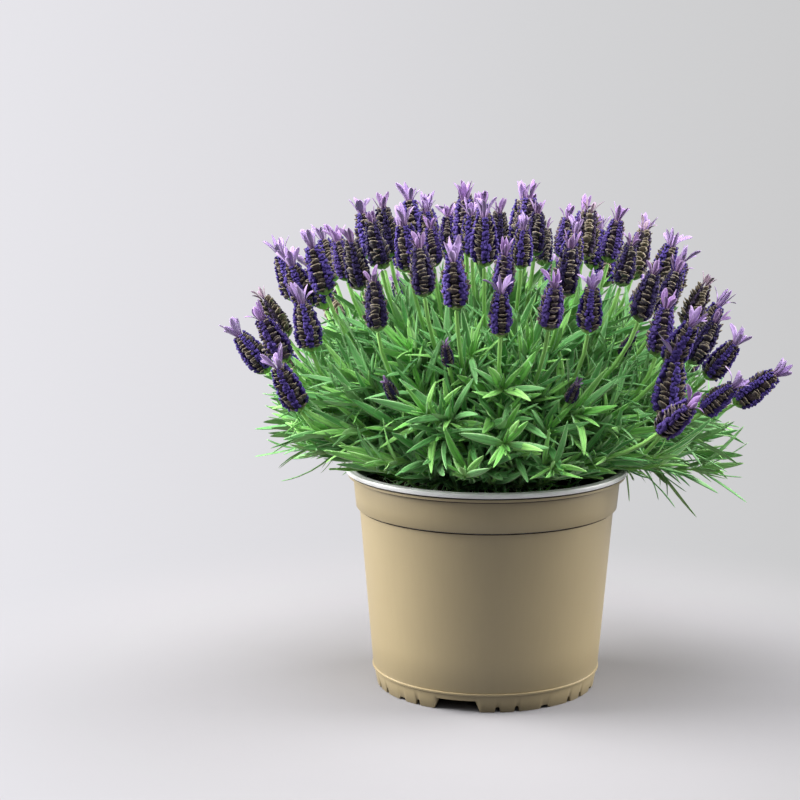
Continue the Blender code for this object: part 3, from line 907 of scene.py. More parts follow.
class Sheaf:
    """Gathers closed forms, then writes them as one mesh with a map and several finishes."""

    def __init__(self) -> None:
        """Starts empty."""
        self.points: list[np.ndarray] = []
        self.corners: dict[int, list[np.ndarray]] = {3: [], 4: []}
        self.spots: dict[int, list[np.ndarray]] = {3: [], 4: []}
        self.slots: dict[int, list[np.ndarray]] = {3: [], 4: []}
        self.count = 0

    def add(self, loft: Loft, places: np.ndarray, sheet: TintSheet, cells: np.ndarray, slot: int = 0) -> None:
        """Adds forms of one kind.

        Args:
            loft: Kind of form.
            places: Points, forms x loft.size x 3.
            sheet: Sheet of tints.
            cells: Column and row of each form.
            slot: Number of the finish.
        """
        forms = len(places)
        if forms == 0:
            return
        starts = self.count + loft.size * np.arange(forms)
        for corners, local in zip(loft.faces(), loft.maps()):
            sides = corners.shape[1]
            self.corners[sides].append((corners[None] + starts[:, None, None]).reshape(-1, sides))
            self.spots[sides].append(sheet.place(local, np.asarray(cells, float)).reshape(-1, 2))
            self.slots[sides].append(np.full(forms * len(corners), slot))
        self.points.append(places.reshape(-1, 3))
        self.count += forms * loft.size

    def add_turned(self, rings: list[np.ndarray], low: float, high: float) -> None:
        """Adds one form round the upright axis.

        Args:
            rings: Points of each ring.
            low: Height of the point that closes the first ring.
            high: Height of the point that closes the last ring.
        """
        ends = np.array([[0.0, 0.0, low], [0.0, 0.0, high]])
        points = np.concatenate([np.stack(rings).reshape(-1, 3), ends])
        shares = tuple((np.arange(len(rings)) + 0.5) / len(rings))
        self.add(Loft(shares, len(rings[0])), points[None], PLAIN_SHEET, np.zeros((1, 2)))

    def write(
        self, name: str, finishes: Sequence[bpy.types.Material], foot: np.ndarray, mapped: bool = True
    ) -> bpy.types.Object:
        """Writes the mesh.

        Args:
            name: Name of the piece.
            finishes: One material for each slot.
            foot: Where the plant's own frame stands, in millimetres.
            mapped: Whether the finishes read the map.

        Returns:
            The piece.
        """
        points = (np.concatenate(self.points) + foot) * MM
        kinds = [sides for sides in (4, 3) if self.corners[sides]]
        loops = np.concatenate([np.concatenate(self.corners[sides]).reshape(-1) for sides in kinds])
        spots = np.concatenate([part for sides in kinds for part in self.spots[sides]])
        slots = np.concatenate([part for sides in kinds for part in self.slots[sides]])
        totals = np.concatenate([np.full(sum(len(p) for p in self.corners[s]), s) for s in kinds])
        starts = np.concatenate([[0], np.cumsum(totals)[:-1]])
        mesh = bpy.data.meshes.new(name)
        mesh.vertices.add(len(points))
        mesh.vertices.foreach_set("co", points.reshape(-1).astype(np.float32))
        mesh.loops.add(len(loops))
        mesh.loops.foreach_set("vertex_index", loops.astype(np.int32))
        mesh.polygons.add(len(totals))
        mesh.polygons.foreach_set("loop_start", starts.astype(np.int32))
        for finish in finishes:
            mesh.materials.append(finish)
        mesh.polygons.foreach_set("material_index", slots.astype(np.int32))
        if mapped:
            layer = mesh.uv_layers.new(name=MAP_NAME)
            layer.data.foreach_set("uv", spots.reshape(-1).astype(np.float32))
        mesh.update(calc_edges=True)
        smooth_over(mesh)
        return in_scene(name, mesh)


def settle(piece: bpy.types.Object, nodes: Iterable[str]) -> None:
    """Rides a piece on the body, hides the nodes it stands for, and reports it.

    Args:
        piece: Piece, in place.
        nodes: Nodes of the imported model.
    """
    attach(piece, BODY)
    names = list(nodes)
    if names:
        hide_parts(*names)
    log.info("%s: %d faces, stands for %d nodes", piece.name, len(piece.data.polygons), len(names))


def unit(vectors: np.ndarray) -> np.ndarray:
    """Vectors scaled to length 1."""
    return vectors / np.linalg.norm(vectors, axis=-1, keepdims=True)


def turned(vectors: np.ndarray, azimuth: np.ndarray) -> np.ndarray:
    """Vectors turned about the upright axis.

    Args:
        vectors: Vectors, any shape x 3.
        azimuth: Angles in degrees, which broadcast to that shape.

    Returns:
        The turned vectors.
    """
    angle = np.radians(azimuth)
    x, y, z = vectors[..., 0], vectors[..., 1], vectors[..., 2]
    return np.stack([x * np.cos(angle) - y * np.sin(angle), x * np.sin(angle) + y * np.cos(angle), z], -1)


def leaning(tilt: np.ndarray) -> np.ndarray:
    """Unit vectors in the XZ plane at tilts, in degrees, from straight up."""
    angle = np.radians(tilt)
    return np.stack([np.sin(angle), np.zeros_like(angle), np.cos(angle)], -1)


@dataclass
class Arches:
    """Smooth arches of stems from the crown to their tips.

    Attributes:
        azimuth: Which way each stem leans, in degrees.
        tilt: Tilt of its tip about the dome's centre.
        reach: Distance of its tip from the dome's centre.
        lean: Tilt of the stem at its tip.
        dome_centre: Height of the dome's centre.
        crown_middle: Height of the crown's middle.
        crown_radius: Distance from there at which stems start.
        early: Share of the bend that a stem makes at its root.
        pull: How far the ends pull an arch, as a share of its chord.
        easing: Height over which stems are eased off the ground.
        ground_radii: Distances from the pot's axis, for the heights below.
        ground_levels: Lowest heights of stems there, over the mix and the rim.
    """

    azimuth: np.ndarray
    tilt: np.ndarray
    reach: np.ndarray
    lean: np.ndarray
    dome_centre: float = 122.0
    crown_middle: float = 134.7
    crown_radius: float = 12.3
    early: float = 0.35
    pull: float = 0.9
    easing: float = 1.5
    ground_radii: tuple[float, ...] = (0.0, 58.0, 76.0, 92.0, 150.0)
    ground_levels: tuple[float, ...] = (118.0, 124.0, 138.0, 138.0, 112.0)

    def __post_init__(self) -> None:
        """Works out the ends and the pulls of the arches."""
        self.tip = UP * self.dome_centre + leaning(self.tilt) * self.reach[:, None]
        hub = UP * self.crown_middle
        to_tip = self.tip - hub
        straight = np.degrees(np.arctan2(to_tip[:, 0], to_tip[:, 2]))
        start = leaning(straight + (straight - self.lean) * self.early)
        self.root = hub + start * self.crown_radius
        chord = np.linalg.norm(self.tip - self.root, axis=1)[:, None]
        self.root_pull = start * chord * self.pull
        self.tip_pull = leaning(self.lean) * chord * self.pull

    def __len__(self) -> int:
        """Number of arches."""
        return len(self.tilt)

    def at(self, share: np.ndarray) -> np.ndarray:
        """Finds points on the arches.

        Args:
            share: Share of the way along, arches x places.

        Returns:
            Points, arches x places x 3.
        """
        s = share[..., None]
        t = 1.0 - s
        root = self.root[:, None] * (t * t * (1.0 + 2.0 * s)) + self.root_pull[:, None] * (s * t * t)
        tip = self.tip[:, None] * (s * s * (3.0 - 2.0 * s)) - self.tip_pull[:, None] * (s * s * t)
        return self.lifted(turned(root + tip, self.azimuth[:, None]))

    def lifted(self, points: np.ndarray) -> np.ndarray:
        """Eases points up so that stems pass over the rim, not through it.

        Args:
            points: Points, any shape x 3.

        Returns:
            The eased points.
        """
        radius = np.hypot(points[..., 0], points[..., 1])
        lowest = np.interp(radius, self.ground_radii, self.ground_levels)
        above = points[..., 2] - lowest
        eased = lowest + np.logaddexp(0.0, above / self.easing) * self.easing
        return np.concatenate([points[..., :2], eased[..., None]], -1)

    def heading(self, share: np.ndarray) -> np.ndarray:
        """Unit tangents, arches x places x 3."""
        step = 0.004
        return unit(self.at(np.minimum(share + step, 1.0)) - self.at(np.maximum(share - step, 0.0)))

    def side(self) -> np.ndarray:
        """Unit vectors across the arches' planes."""
        return turned(np.tile(np.array([0.0, 1.0, 0.0]), (len(self), 1)), self.azimuth)


@dataclass(frozen=True)
class BladeForm:
    """Section and outline of a blade, such as a leaf, a bract or an ear.

    Attributes:
        loft: Rings and points.
        widths: Share of the width at each ring.
        section: Ring points: across, as a share of half the width, and up, in millimetres.
        camber: How far the edges stand up, as a share of half the width.
    """

    loft: Loft
    widths: tuple[float, ...]
    section: tuple[tuple[float, float], ...]
    camber: float = 0.0

    def grow(
        self,
        seat: np.ndarray,
        stem: np.ndarray,
        out: np.ndarray,
        length: np.ndarray,
        width: np.ndarray,
        spread: np.ndarray,
        bow: np.ndarray,
        sway: np.ndarray | float = 0.0,
        twist: np.ndarray | float = 0.0,
    ) -> np.ndarray:
        """Shapes blades that grow from stems.

        Args:
            seat: Where each blade starts.
            stem: Direction of its stem.
            out: Direction away from the stem, at a right angle to it.
            length: Length along the blade.
            width: Greatest width.
            spread: Angle from the stem at the blade's start, in degrees.
            bow: How much further the blade has turned at its tip, in degrees.
            sway: Sideways drift of the tip, as a share of the length.
            twist: Turn of the blade about itself at its tip, in degrees.

        Returns:
            Points, blades x loft.size x 3.
        """
        forms = len(seat)
        shares = np.array((*self.loft.shares, 0.0, 1.0))
        start = np.radians(spread)[:, None]
        turn = np.radians(np.where(np.abs(bow) < 1.0, 1.0, bow))[:, None]
        angle = start + turn * shares
        ahead = length[:, None] / turn * (np.sin(angle) - np.sin(start))
        away = length[:, None] / turn * (np.cos(start) - np.cos(angle))
        across = np.cross(stem, out)
        sway = np.broadcast_to(sway, (forms,))
        middle = (
            seat[:, None]
            + stem[:, None] * ahead[..., None]
            + out[:, None] * away[..., None]
            + across[:, None] * (sway * length)[:, None, None] * (shares**2)[None, :, None]
        )
        rings = len(self.loft.shares)
        upper = stem[:, None] * np.sin(angle)[..., None] - out[:, None] * np.cos(angle)[..., None]
        roll = np.radians(np.broadcast_to(twist, (forms,)))[:, None] * shares
        wide = across[:, None] * np.cos(roll)[..., None] + upper * np.sin(roll)[..., None]
        high = upper * np.cos(roll)[..., None] - across[:, None] * np.sin(roll)[..., None]
        section = np.array(self.section)
        half = width[:, None] / 2.0 * np.array(self.widths)
        x = half[..., None] * section[:, 0]
        thin = np.minimum(1.0, 0.45 + np.array(self.widths))[None, :, None]
        y = section[:, 1] * thin + self.camber * half[..., None] * section[:, 0] ** 2
        body = (
            middle[:, :rings, None]
            + wide[:, :rings, None] * x[..., None]
            + high[:, :rings, None] * y[..., None]
        )
        return np.concatenate([body.reshape(forms, -1, 3), middle[:, rings:]], 1)


def lens(
    edge: float, top: tuple[float, float], crest: float, low: tuple[float, float], keel: float
) -> tuple[tuple[float, float], ...]:
    """Section of a blade: its edges, the crest and the keel, and the points between them."""
    upper = ((1.0, edge), top, (0.0, crest), (-top[0], top[1]), (-1.0, edge))
    return (*upper, (-low[0], low[1]), (0.0, keel), low)


LEAF = BladeForm(
    loft=Loft((0.03, 0.14, 0.32, 0.52, 0.7, 0.85, 0.95), 8),
    widths=(0.44, 0.68, 0.96, 1.0, 0.82, 0.54, 0.26),
    section=lens(-0.12, (0.55, 0.3), 0.06, (0.62, -0.12), -0.4),
)
LEAFLET = BladeForm(
    loft=Loft((0.05, 0.3, 0.6, 0.86), 6),
    widths=(0.55, 1.0, 0.84, 0.42),
    section=((1.0, -0.05), (0.0, 0.12), (-1.0, -0.05), (-0.6, -0.16), (0.0, -0.32), (0.6, -0.16)),
    camber=0.1,
)
BRACT = BladeForm(
    loft=Loft((0.06, 0.28, 0.52, 0.74, 0.92), 8),
    widths=(0.42, 0.86, 1.0, 0.84, 0.4),
    section=lens(0.0, (0.5, 0.14), 0.2, (0.55, -0.16), -0.18),
    camber=0.42,
)
EAR = BladeForm(
    loft=Loft((0.04, 0.18, 0.38, 0.58, 0.76, 0.9, 0.97), 8),
    widths=(0.34, 0.46, 0.78, 1.0, 0.92, 0.6, 0.3),
    section=lens(0.0, (0.5, 0.1), 0.03, (0.5, -0.1), -0.2),
    camber=0.22,
)


def tubes(
    loft: Loft, middle: np.ndarray, side: np.ndarray, front: np.ndarray, half: np.ndarray
) -> np.ndarray:
    """Shapes round or square tubes along lines.

    Args:
        loft: Rings and points.
        middle: Middles of the foot, the rings and the tip, tubes x places x 3.
        side: Unit vectors across, tubes x rings x 3.
        front: Unit vectors at a right angle to them.
        half: Half widths, tubes x rings.

    Returns:
        Points, tubes x loft.size x 3.
    """
    angle = math.tau * (np.arange(loft.points) + 0.5) / loft.points
    # a square with its corners softened
    corner = 1.0 / np.maximum(np.abs(np.cos(angle)), np.abs(np.sin(angle)))
    radius = half[..., None] * lerp(1.0, corner, 0.7)
    ring = (
        middle[:, 1:-1, None]
        + front[:, :, None] * (radius * np.cos(angle))[..., None]
        + side[:, :, None] * (radius * np.sin(angle))[..., None]
    )
    return np.concatenate([ring.reshape(len(middle), -1, 3), middle[:, :1], middle[:, -1:]], 1)


# ---- pot


@dataclass
class NurseryPot:
    """Thin turned pot with a rolled rim, a collar, a bead and a notched foot."""

    foot: np.ndarray
    height: float = 134.0
    rim_radius: float = 85.0
    rim_overhang: float = 4.2
    rim_ring_width: float = 4.6
    rim_roll_height: float = 3.0
    rim_rounding: float = 0.9
    lip_height: float = 2.6
    lip_depth: float = 1.7
    collar_height: float = 24.5
    collar_taper: float = 2.4
    collar_step: float = 2.0
    foot_radius: float = 66.0
    bead_standoff: float = 2.3
    bead_height: float = 11.5
    bead_relief: float = 0.5
    bead_width: float = 1.5
    wall: float = 1.4
    floor_lift: float = 8.5
    floor_thickness: float = 1.5
    segments: int = 720
    wide_notch: tuple[float, float, float] = (28.0, 22.5, 6.5)
    wide_notch_count: int = 3
    wide_notch_azimuth: float = -104.5
    arch_notch: tuple[float, float] = (3.2, 3.2)
    arch_offsets: tuple[float, ...] = (21.0, 31.0, 63.0, 73.0, 98.0)
    slot_notch: tuple[float, float] = (6.2, 1.8)
    slot_offsets: tuple[float, ...] = (46.5, 87.0)
    drain_rings: tuple[tuple[int, float], ...] = ((6, 50.0), (3, 24.0))
    drain_radius: float = 4.5
    drain_sides: int = 24
    sharp_corner: float = 38.0
    outside: PotPlastic = PotPlastic("pot_taupe_plastic", tone(160, 144, 109), tone(188, 174, 140), 0.4)
    # painted shade: a dark brown finish for the grooves under the roll, the lip and the collar's step
    groove_painted_shade: PotPlastic = PotPlastic("pot_groove_painted_shade", tone(70, 60, 44), tone(96, 84, 64), 0.7)
    inside: PotPlastic = PotPlastic("pot_white_plastic", tone(238, 238, 240), tone(206, 204, 200), 0.3)

    @property
    def step(self) -> float:
        """Height of the step under the collar."""
        return self.height - self.collar_height

    def outer_radius(self, level: float) -> float:
        """Outer radius of the body or the collar.

        Args:
            level: Height.

        Returns:
            The radius.
        """
        collar_top = self.rim_radius - self.rim_overhang
        collar_bottom = collar_top - self.collar_taper
        if level >= self.step:
            return lerp(collar_bottom, collar_top, (level - self.step) / self.collar_height)
        body_top = collar_bottom - self.collar_step
        body_bottom = self.foot_radius + self.bead_standoff
        return lerp(body_bottom, body_top, (level - self.bead_height) / (self.step - self.bead_height))

    def on_wall(self, level: float, inset: float = 0.0, finish: int = 0) -> tuple[float, float, int]:
        """Point of the section at a height, set in from the outer face."""
        return (self.outer_radius(level) - inset, level, finish)

    def section(self) -> list[tuple[float, float, int]]:
        """Lists the section's points from the floor's underside to its upper face.

        Returns:
            Radius, height and finish of the band that starts at each point.
        """
        # dark marks the bands that take the groove finish, which is painted shade
        out, white, dark = 0, 1, 2
        top, step = self.height, self.step
        foot_in = self.foot_radius - self.wall
        bead = self.outer_radius(self.bead_height)
        rise = self.bead_height
        roll = top - self.rim_roll_height
        lip = roll - self.lip_height
        rim, soft = self.rim_radius, self.rim_rounding
        floor_top = self.floor_lift + self.floor_thickness
        inner = (top - self.wall, step + self.wall, step - self.wall, floor_top + 2.0)
        points = [
            (foot_in, self.floor_lift, out),
            (foot_in, 3.6, out),
            (foot_in, 0.0, out),
            (self.foot_radius - 0.3, 0.0, out),
            (self.foot_radius, 0.3, out),
            (lerp(self.foot_radius, bead - self.bead_relief, 0.7), rise * 0.62, out),
            (bead - self.bead_relief, rise - self.bead_width, out),
            (bead + self.bead_relief * 0.6, rise - self.bead_width * 0.75, out),
            (bead + self.bead_relief, rise - self.bead_width * 0.45, out),
            (bead + self.bead_relief, rise, out),
            (bead - 0.25, rise + 0.25, out),
            self.on_wall(rise + 0.9),
            *(self.on_wall(lerp(rise, step, share)) for share in (0.2, 0.4, 0.6, 0.8)),
            # painted shade in the groove under the collar's step
            self.on_wall(step - 1.3, 0.0, dark),
            self.on_wall(step - 0.9, 1.2, dark),
            (self.outer_radius(step) - 1.6, step - 0.1, out),
            self.on_wall(step, 0.3),
            self.on_wall(step + 0.4),
            self.on_wall(step + 8.0),
            # painted shade under the lip and in the groove under the roll
            self.on_wall(lip - 1.0, 0.0, dark),
            (self.outer_radius(lip) - 0.2, lip - 0.1, dark),
            (rim - self.lip_depth - 0.6, lip, dark),
            (rim - self.lip_depth, lip + 0.3, out),
            (rim - self.lip_depth, roll - 0.9, dark),
            (rim - self.lip_depth - 1.2, roll - 0.8, dark),
            (rim - self.lip_depth - 1.2, roll, dark),
            (rim - soft, roll, white),
            (rim - soft * 0.3, roll + soft * 0.3, white),
            (rim, roll + soft, white),
            (rim, top - soft, white),
            (rim - soft * 0.3, top - soft * 0.3, white),
            (rim - soft, top, white),
            (rim - soft - 0.9, top - 0.05, white),
            (rim - soft - 1.1, top - 0.4, white),
            (rim - soft - 1.4, top - 0.4, white),
            (rim - soft - 1.7, top - 0.05, white),
            (rim - self.rim_ring_width + 0.4, top, white),
            (rim - self.rim_ring_width, top - 0.3, white),
            *(self.on_wall(level, self.wall, white) for level in inner),
            (self.outer_radius(floor_top) - self.wall - 2.0, floor_top, white),
        ]
        return points

    def notch_height(self, azimuth: np.ndarray) -> np.ndarray:
        """Finds how high the notches lift the foot's edge.

        Args:
            azimuth: Azimuths in degrees.

        Returns:
            Height of the edge at each.
        """
        edge = np.zeros_like(azimuth)
        pitch = 360.0 / self.wide_notch_count
        for number in range(self.wide_notch_count):
            middle = self.wide_notch_azimuth + pitch * number
            base, top, rise = self.wide_notch
            edge = np.maximum(edge, self.trapezium(azimuth - middle, base, top, rise))
            for offset in self.slot_offsets:
                wide, rise = self.slot_notch
                edge = np.maximum(edge, self.trapezium(azimuth - middle - offset, wide, wide - rise, rise))
            for offset in self.arch_offsets:
                wide, rise = self.arch_notch
                away = self.arc(azimuth - middle - offset) / (wide / 2.0)
                arch = rise - wide / 2.0 * (1.0 - np.sqrt(np.clip(1.0 - away**2, 0.0, 1.0)))
                edge = np.maximum(edge, np.where(np.abs(away) <= 1.0, arch, 0.0))
        return edge

    def arc(self, degrees: np.ndarray) -> np.ndarray:
        """Distance round the foot for an angle, taken the short way."""
        return np.radians((degrees + 180.0) % 360.0 - 180.0) * self.foot_radius

    def trapezium(self, degrees: np.ndarray, base: float, top: float, rise: float) -> np.ndarray:
        """Height of a notch that narrows upwards.

        Args:
            degrees: Angles from the notch's middle.
            base: Width at the ground.
            top: Width at the top.
            rise: Height of the notch.

        Returns:
            Height at each angle.
        """
        away = np.abs(self.arc(degrees))
        slope = (base - top) / 2.0 / rise
        return np.clip((base / 2.0 - away) / slope, 0.0, rise)

    def build(self) -> None:
        """Builds the pot and drills its drain holes."""
        section = self.section()
        azimuth = np.arange(self.segments) * 360.0 / self.segments
        edge = self.notch_height(azimuth)
        radii = np.array([point[0] for point in section])
        levels = np.tile(np.array([point[1] for point in section]), (self.segments, 1))
        low = levels < 3.0
        levels = np.where(low, np.maximum(levels, edge[:, None] + levels), levels)
        levels[:, 1] = np.maximum(levels[:, 1], edge + 0.6)
        ring = hoop(radii, levels, np.radians(azimuth)[:, None])
        sheaf = Sheaf()
        sheaf.add_turned(list(ring.swapaxes(0, 1)), self.floor_lift, self.floor_lift + self.floor_thickness)
        finishes = [finish.material() for finish in (self.outside, self.inside, self.groove_painted_shade)]
        pot = sheaf.write("pot_shell", finishes, self.foot, mapped=False)
        bands = [finish for _, _, finish in section[:-1]]
        slots = np.repeat([*bands, 0, 1], self.segments).astype(np.int32)
        pot.data.polygons.foreach_set("material_index", slots)
        pot.data.update()
        self.drill(pot)
        smooth_over(pot.data)
        pot.data.set_sharp_from_angle(angle=math.radians(self.sharp_corner))
        pot.data.update()
        settle(pot, ["nursery_pot"])

    def drill(self, pot: bpy.types.Object) -> None:
        """Cuts the drain holes through the floor.

        Args:
            pot: The pot.
        """
        levels = np.array([self.floor_lift - 2.0, self.floor_lift + self.floor_thickness + 2.0])
        radii = np.array([[self.drain_radius], [self.drain_radius]])
        wall = hoop(radii, levels[:, None], full_turn(self.drain_sides))
        form = np.concatenate([wall.reshape(-1, 3), hoop(np.zeros(2), levels, np.zeros(2))])
        drills = Sheaf()
        for count, ring in self.drain_rings:
            middle = hoop(ring, 0.0, full_turn(count) + math.pi / count)
            loft = Loft((0.0, 1.0), self.drain_sides)
            drills.add(loft, middle[:, None] + form, PLAIN_SHEET, np.zeros((count, 2)))
        cutter = drills.write("drain_cutter", [], self.foot, mapped=False)
        modifier = pot.modifiers.new("drain", "BOOLEAN")
        modifier.operation = "DIFFERENCE"
        modifier.solver = "EXACT"
        modifier.object = cutter
        bpy.context.view_layer.update()
        cut = bpy.data.meshes.new_from_object(pot.evaluated_get(bpy.context.evaluated_depsgraph_get()))
        pot.modifiers.clear()
        pot.data = cut
        bpy.data.objects.remove(cutter)


@dataclass
class PottingMix:
    """Crumbly mound of bark mix with loose chips on it."""

    pot: NurseryPot
    rng: np.random.Generator
    below_rim: float = 14.0
    wall_clearance: float = 0.4
    mound: float = 2.5
    flat_radius: float = 11.0
    floor_gap: float = 0.3
    rings: int = 110
    segments: int = 360
    chip_count: int = 900
    finish: BarkMix = BarkMix()

    @property
    def top(self) -> float:
        """Height of the mix at the wall."""
        return self.pot.height - self.below_rim

    def inner(self, level: float) -> float:
        """Radius of the mix at a height, clear of the pot's wall."""
        return self.pot.outer_radius(level) - self.pot.wall - self.wall_clearance

    def surface(self, x: np.ndarray, y: np.ndarray) -> np.ndarray:
        """Height of the mound at places, with its lumps.

        Args:
            x: Places across.
            y: Places back.

        Returns:
            Heights.
        """
        edge = self.inner(self.top)
        radius = np.hypot(x, y)
        share = np.clip((edge - radius) / (edge - self.flat_radius), 0.0, 1.0)
        rise = self.mound * (1.0 - np.cos(np.pi * share)) / 2.0
        lumps = np.zeros_like(x)
        rng = np.random.default_rng(SEED)
        for wavelength, height in ((34.0, 0.7), (17.0, 0.6), (8.0, 0.6), (4.2, 0.5), (2.3, 0.3)):
            for _ in range(3):
                way, start = rng.uniform(0.0, math.tau, 2)
                along = x * math.cos(way) + y * math.sin(way)
                bend = np.sin(radius / 9.0 + start)
                lumps += height / 2.0 * np.sin(math.tau * along / wavelength + start + bend)
        calm = np.clip((edge - radius) / 3.0, 0.0, 1.0)
        return self.top + rise + lumps * calm

    def build(self) -> None:
        """Builds the mound and its chips as one piece."""
        edge = self.inner(self.top)
        floor_top = self.pot.floor_lift + self.pot.floor_thickness + self.floor_gap
        low = floor_top + 3.0
        profile = [(self.inner(low) - 3.0, floor_top), (self.inner(low), low)]
        for level in np.linspace(low + 20.0, self.top - 1.0, 5):
            profile.append((self.inner(min(level, self.pot.step - 1.5)), float(level)))
        azimuth = full_turn(self.segments)
        rings = [hoop(radius, level, azimuth) for radius, level in profile]
        for radius in np.linspace(edge, 1.0, self.rings):
            x, y = radius * np.cos(azimuth), radius * np.sin(azimuth)
            rings.append(np.stack([x, y, self.surface(x, y)], 1))
        sheaf = Sheaf()
        sheaf.add_turned(rings, floor_top, self.top + self.mound)
        self.strew(sheaf, edge)
        piece = sheaf.write("bark_mix", [self.finish.material()], self.pot.foot, mapped=False)
        settle(piece, ["potting_mix"])

    def strew(self, sheaf: Sheaf, edge: float) -> None:
        """Strews chips of bark over the mound.

        Args:
            sheaf: Sheaf to add to.
            edge: Radius of the mix.
        """
        count = self.chip_count
        radius = (edge - 3.0) * np.sqrt(self.rng.uniform(0.03, 1.0, count))
        angle = self.rng.uniform(0.0, math.tau, count)
        x, y = radius * np.cos(angle), radius * np.sin(angle)
        level = self.surface(x, y) + self.rng.uniform(-0.3, 0.7, count)
        seat = np.stack([x, y, level], 1)
        way = self.rng.uniform(0.0, math.tau, count)
        rise = self.rng.uniform(-0.35, 0.35, count)
        along = unit(np.stack([np.cos(way), np.sin(way), rise], 1))
        side = unit(np.cross(along, UP))
        front = np.cross(side, along)
        length = self.rng.uniform(2.0, 7.5, count)
        half = length * self.rng.uniform(0.12, 0.3, count)
        loft = Loft((0.1, 0.5, 0.9), 6)
        steps = np.array([0.0, 0.1, 0.5, 0.9, 1.0])
        middle = seat[:, None] + along[:, None] * ((steps - 0.5)[None, :, None] * length[:, None, None])
        sides = np.repeat(side[:, None], 3, 1)
        fronts = np.repeat(front[:, None], 3, 1) * 0.5
        halves = half[:, None] * self.rng.uniform(0.6, 1.1, (count, 3))
        chips = tubes(loft, middle, sides, fronts, halves)
        chips += self.rng.normal(0.0, 0.12, chips.shape)
        sheaf.add(loft, chips, PLAIN_SHEET, np.zeros((count, 2)))


@dataclass
class WoodyCrown:
    """Knobbly knuckle that all the stems grow from, on a short trunk."""

    pot: NurseryPot
    base: float = 122.8
    middle: float = 134.7
    radius: float = 12.0
    trunk_radius: float = 8.5
    waist: float = -48.0
    segments: int = 96
    rings: int = 60
    finish: WoodyBark = WoodyBark()

    def build(self) -> None:
        """Builds the crown."""
        azimuth = full_turn(self.segments)
        levels = [(self.trunk_radius, self.base), (self.trunk_radius, self.base + 1.0)]
        for latitude in np.linspace(self.waist, 84.0, self.rings):
            angle = math.radians(latitude)
            levels.append((self.radius * math.cos(angle), self.middle + self.radius * math.sin(angle)))
        rings = []
        for radius, level in levels:
            knob = np.sin(4.0 * azimuth + level / 2.0) * 0.5 + np.sin(9.0 * azimuth - level) * 0.25
            grain = np.sin(31.0 * azimuth + np.sin(level * 0.8) * 2.0) * 0.16
            near = radius * (1.0 - 0.05 * (1.0 - knob)) + grain - 0.2
            rings.append(hoop(near, level, azimuth))
        sheaf = Sheaf()
        sheaf.add_turned(rings, self.base, self.middle + self.radius - 0.4)
        piece = sheaf.write("crown_knuckle", [self.finish.material()], self.pot.foot, mapped=False)
        settle(piece, ["woody_crown"])


# ---- leafy parts


def around(azimuth: np.ndarray, right: float, back: float, left: float, front: float) -> np.ndarray:
    """Value that runs smoothly round the plant through four sides.

    Args:
        azimuth: Azimuths in degrees.
        right: Value at 0 degrees.
        back: Value at 90 degrees.
        left: Value at 180 degrees.
        front: Value at 270 degrees.

    Returns:
        Values.
    """
    angle = np.radians(azimuth)
    mean = (right + back + left + front) / 4.0
    wave = (right - left) / 2.0 * np.cos(angle) + (back - front) / 2.0 * np.sin(angle)
    return mean + wave + (right + left - back - front) / 4.0 * np.cos(2.0 * angle)


class Sector(Enum):
    """Side of the plant that a bundle belongs to, in equal steps of azimuth from the right."""

    RIGHT = "right"
    BACK_RIGHT = "back_right"
    BACK = "back"
    BACK_LEFT = "back_left"
    LEFT = "left"
    FRONT_LEFT = "front_left"
    FRONT = "front"
    FRONT_RIGHT = "front_right"

    @staticmethod
    def number(azimuth: Any) -> Any:
        """Number of the side at an azimuth in degrees."""
        return np.round(np.asarray(azimuth) / 45.0).astype(int) % 8


@dataclass(frozen=True)
class LooseLeaves:
    """Old leaves that curl low down, each size a least and a greatest value.

    Attributes:
        count: Number of leaves.
        azimuths: Where round the plant they lie.
        radii: Distances from the axis.
        levels: Heights.
        tilts: Tilts from straight up.
        stray: How far they turn from the way outwards, in degrees.
        lengths: Lengths.
        widths: Widths.
        ages: Rows of the leaf sheet to choose from.
        curl: How far they curl, in degrees.
        twist: How far they twist, in degrees.
        trim: Whether they keep off the bare part of the rim.
    """

    count: int
    azimuths: tuple[float, float]
    radii: tuple[float, float]
    levels: tuple[float, float]
    tilts: tuple[float, float]
    stray: float
    lengths: tuple[float, float]
    widths: tuple[float, float]
    ages: tuple[LeafAge, ...]
    curl: float
    twist: float
    trim: bool = True


WISPS = LooseLeaves(
    count=130,
    azimuths=(0.0, 360.0),
    radii=(18.0, 70.0),
    levels=(127.0, 146.0),
    tilts=(20.0, 130.0),
    stray=40.0,
    lengths=(12.0, 30.0),
    widths=(1.0, 2.2),
    ages=(LeafAge.GREY, LeafAge.SHADED_INNER, LeafAge.GREY),
    curl=120.0,
    twist=90.0,
)
CURLS_ON_MIX = LooseLeaves(
    count=46,
    azimuths=(-152.0, -28.0),
    radii=(50.0, 69.0),
    levels=(123.5, 129.0),
    tilts=(-20.0, 60.0),
    stray=60.0,
    lengths=(9.0, 18.0),
    widths=(0.8, 1.6),
    ages=(LeafAge.GREY, LeafAge.GROWN),
    curl=170.0,
    twist=60.0,
    trim=False,
)


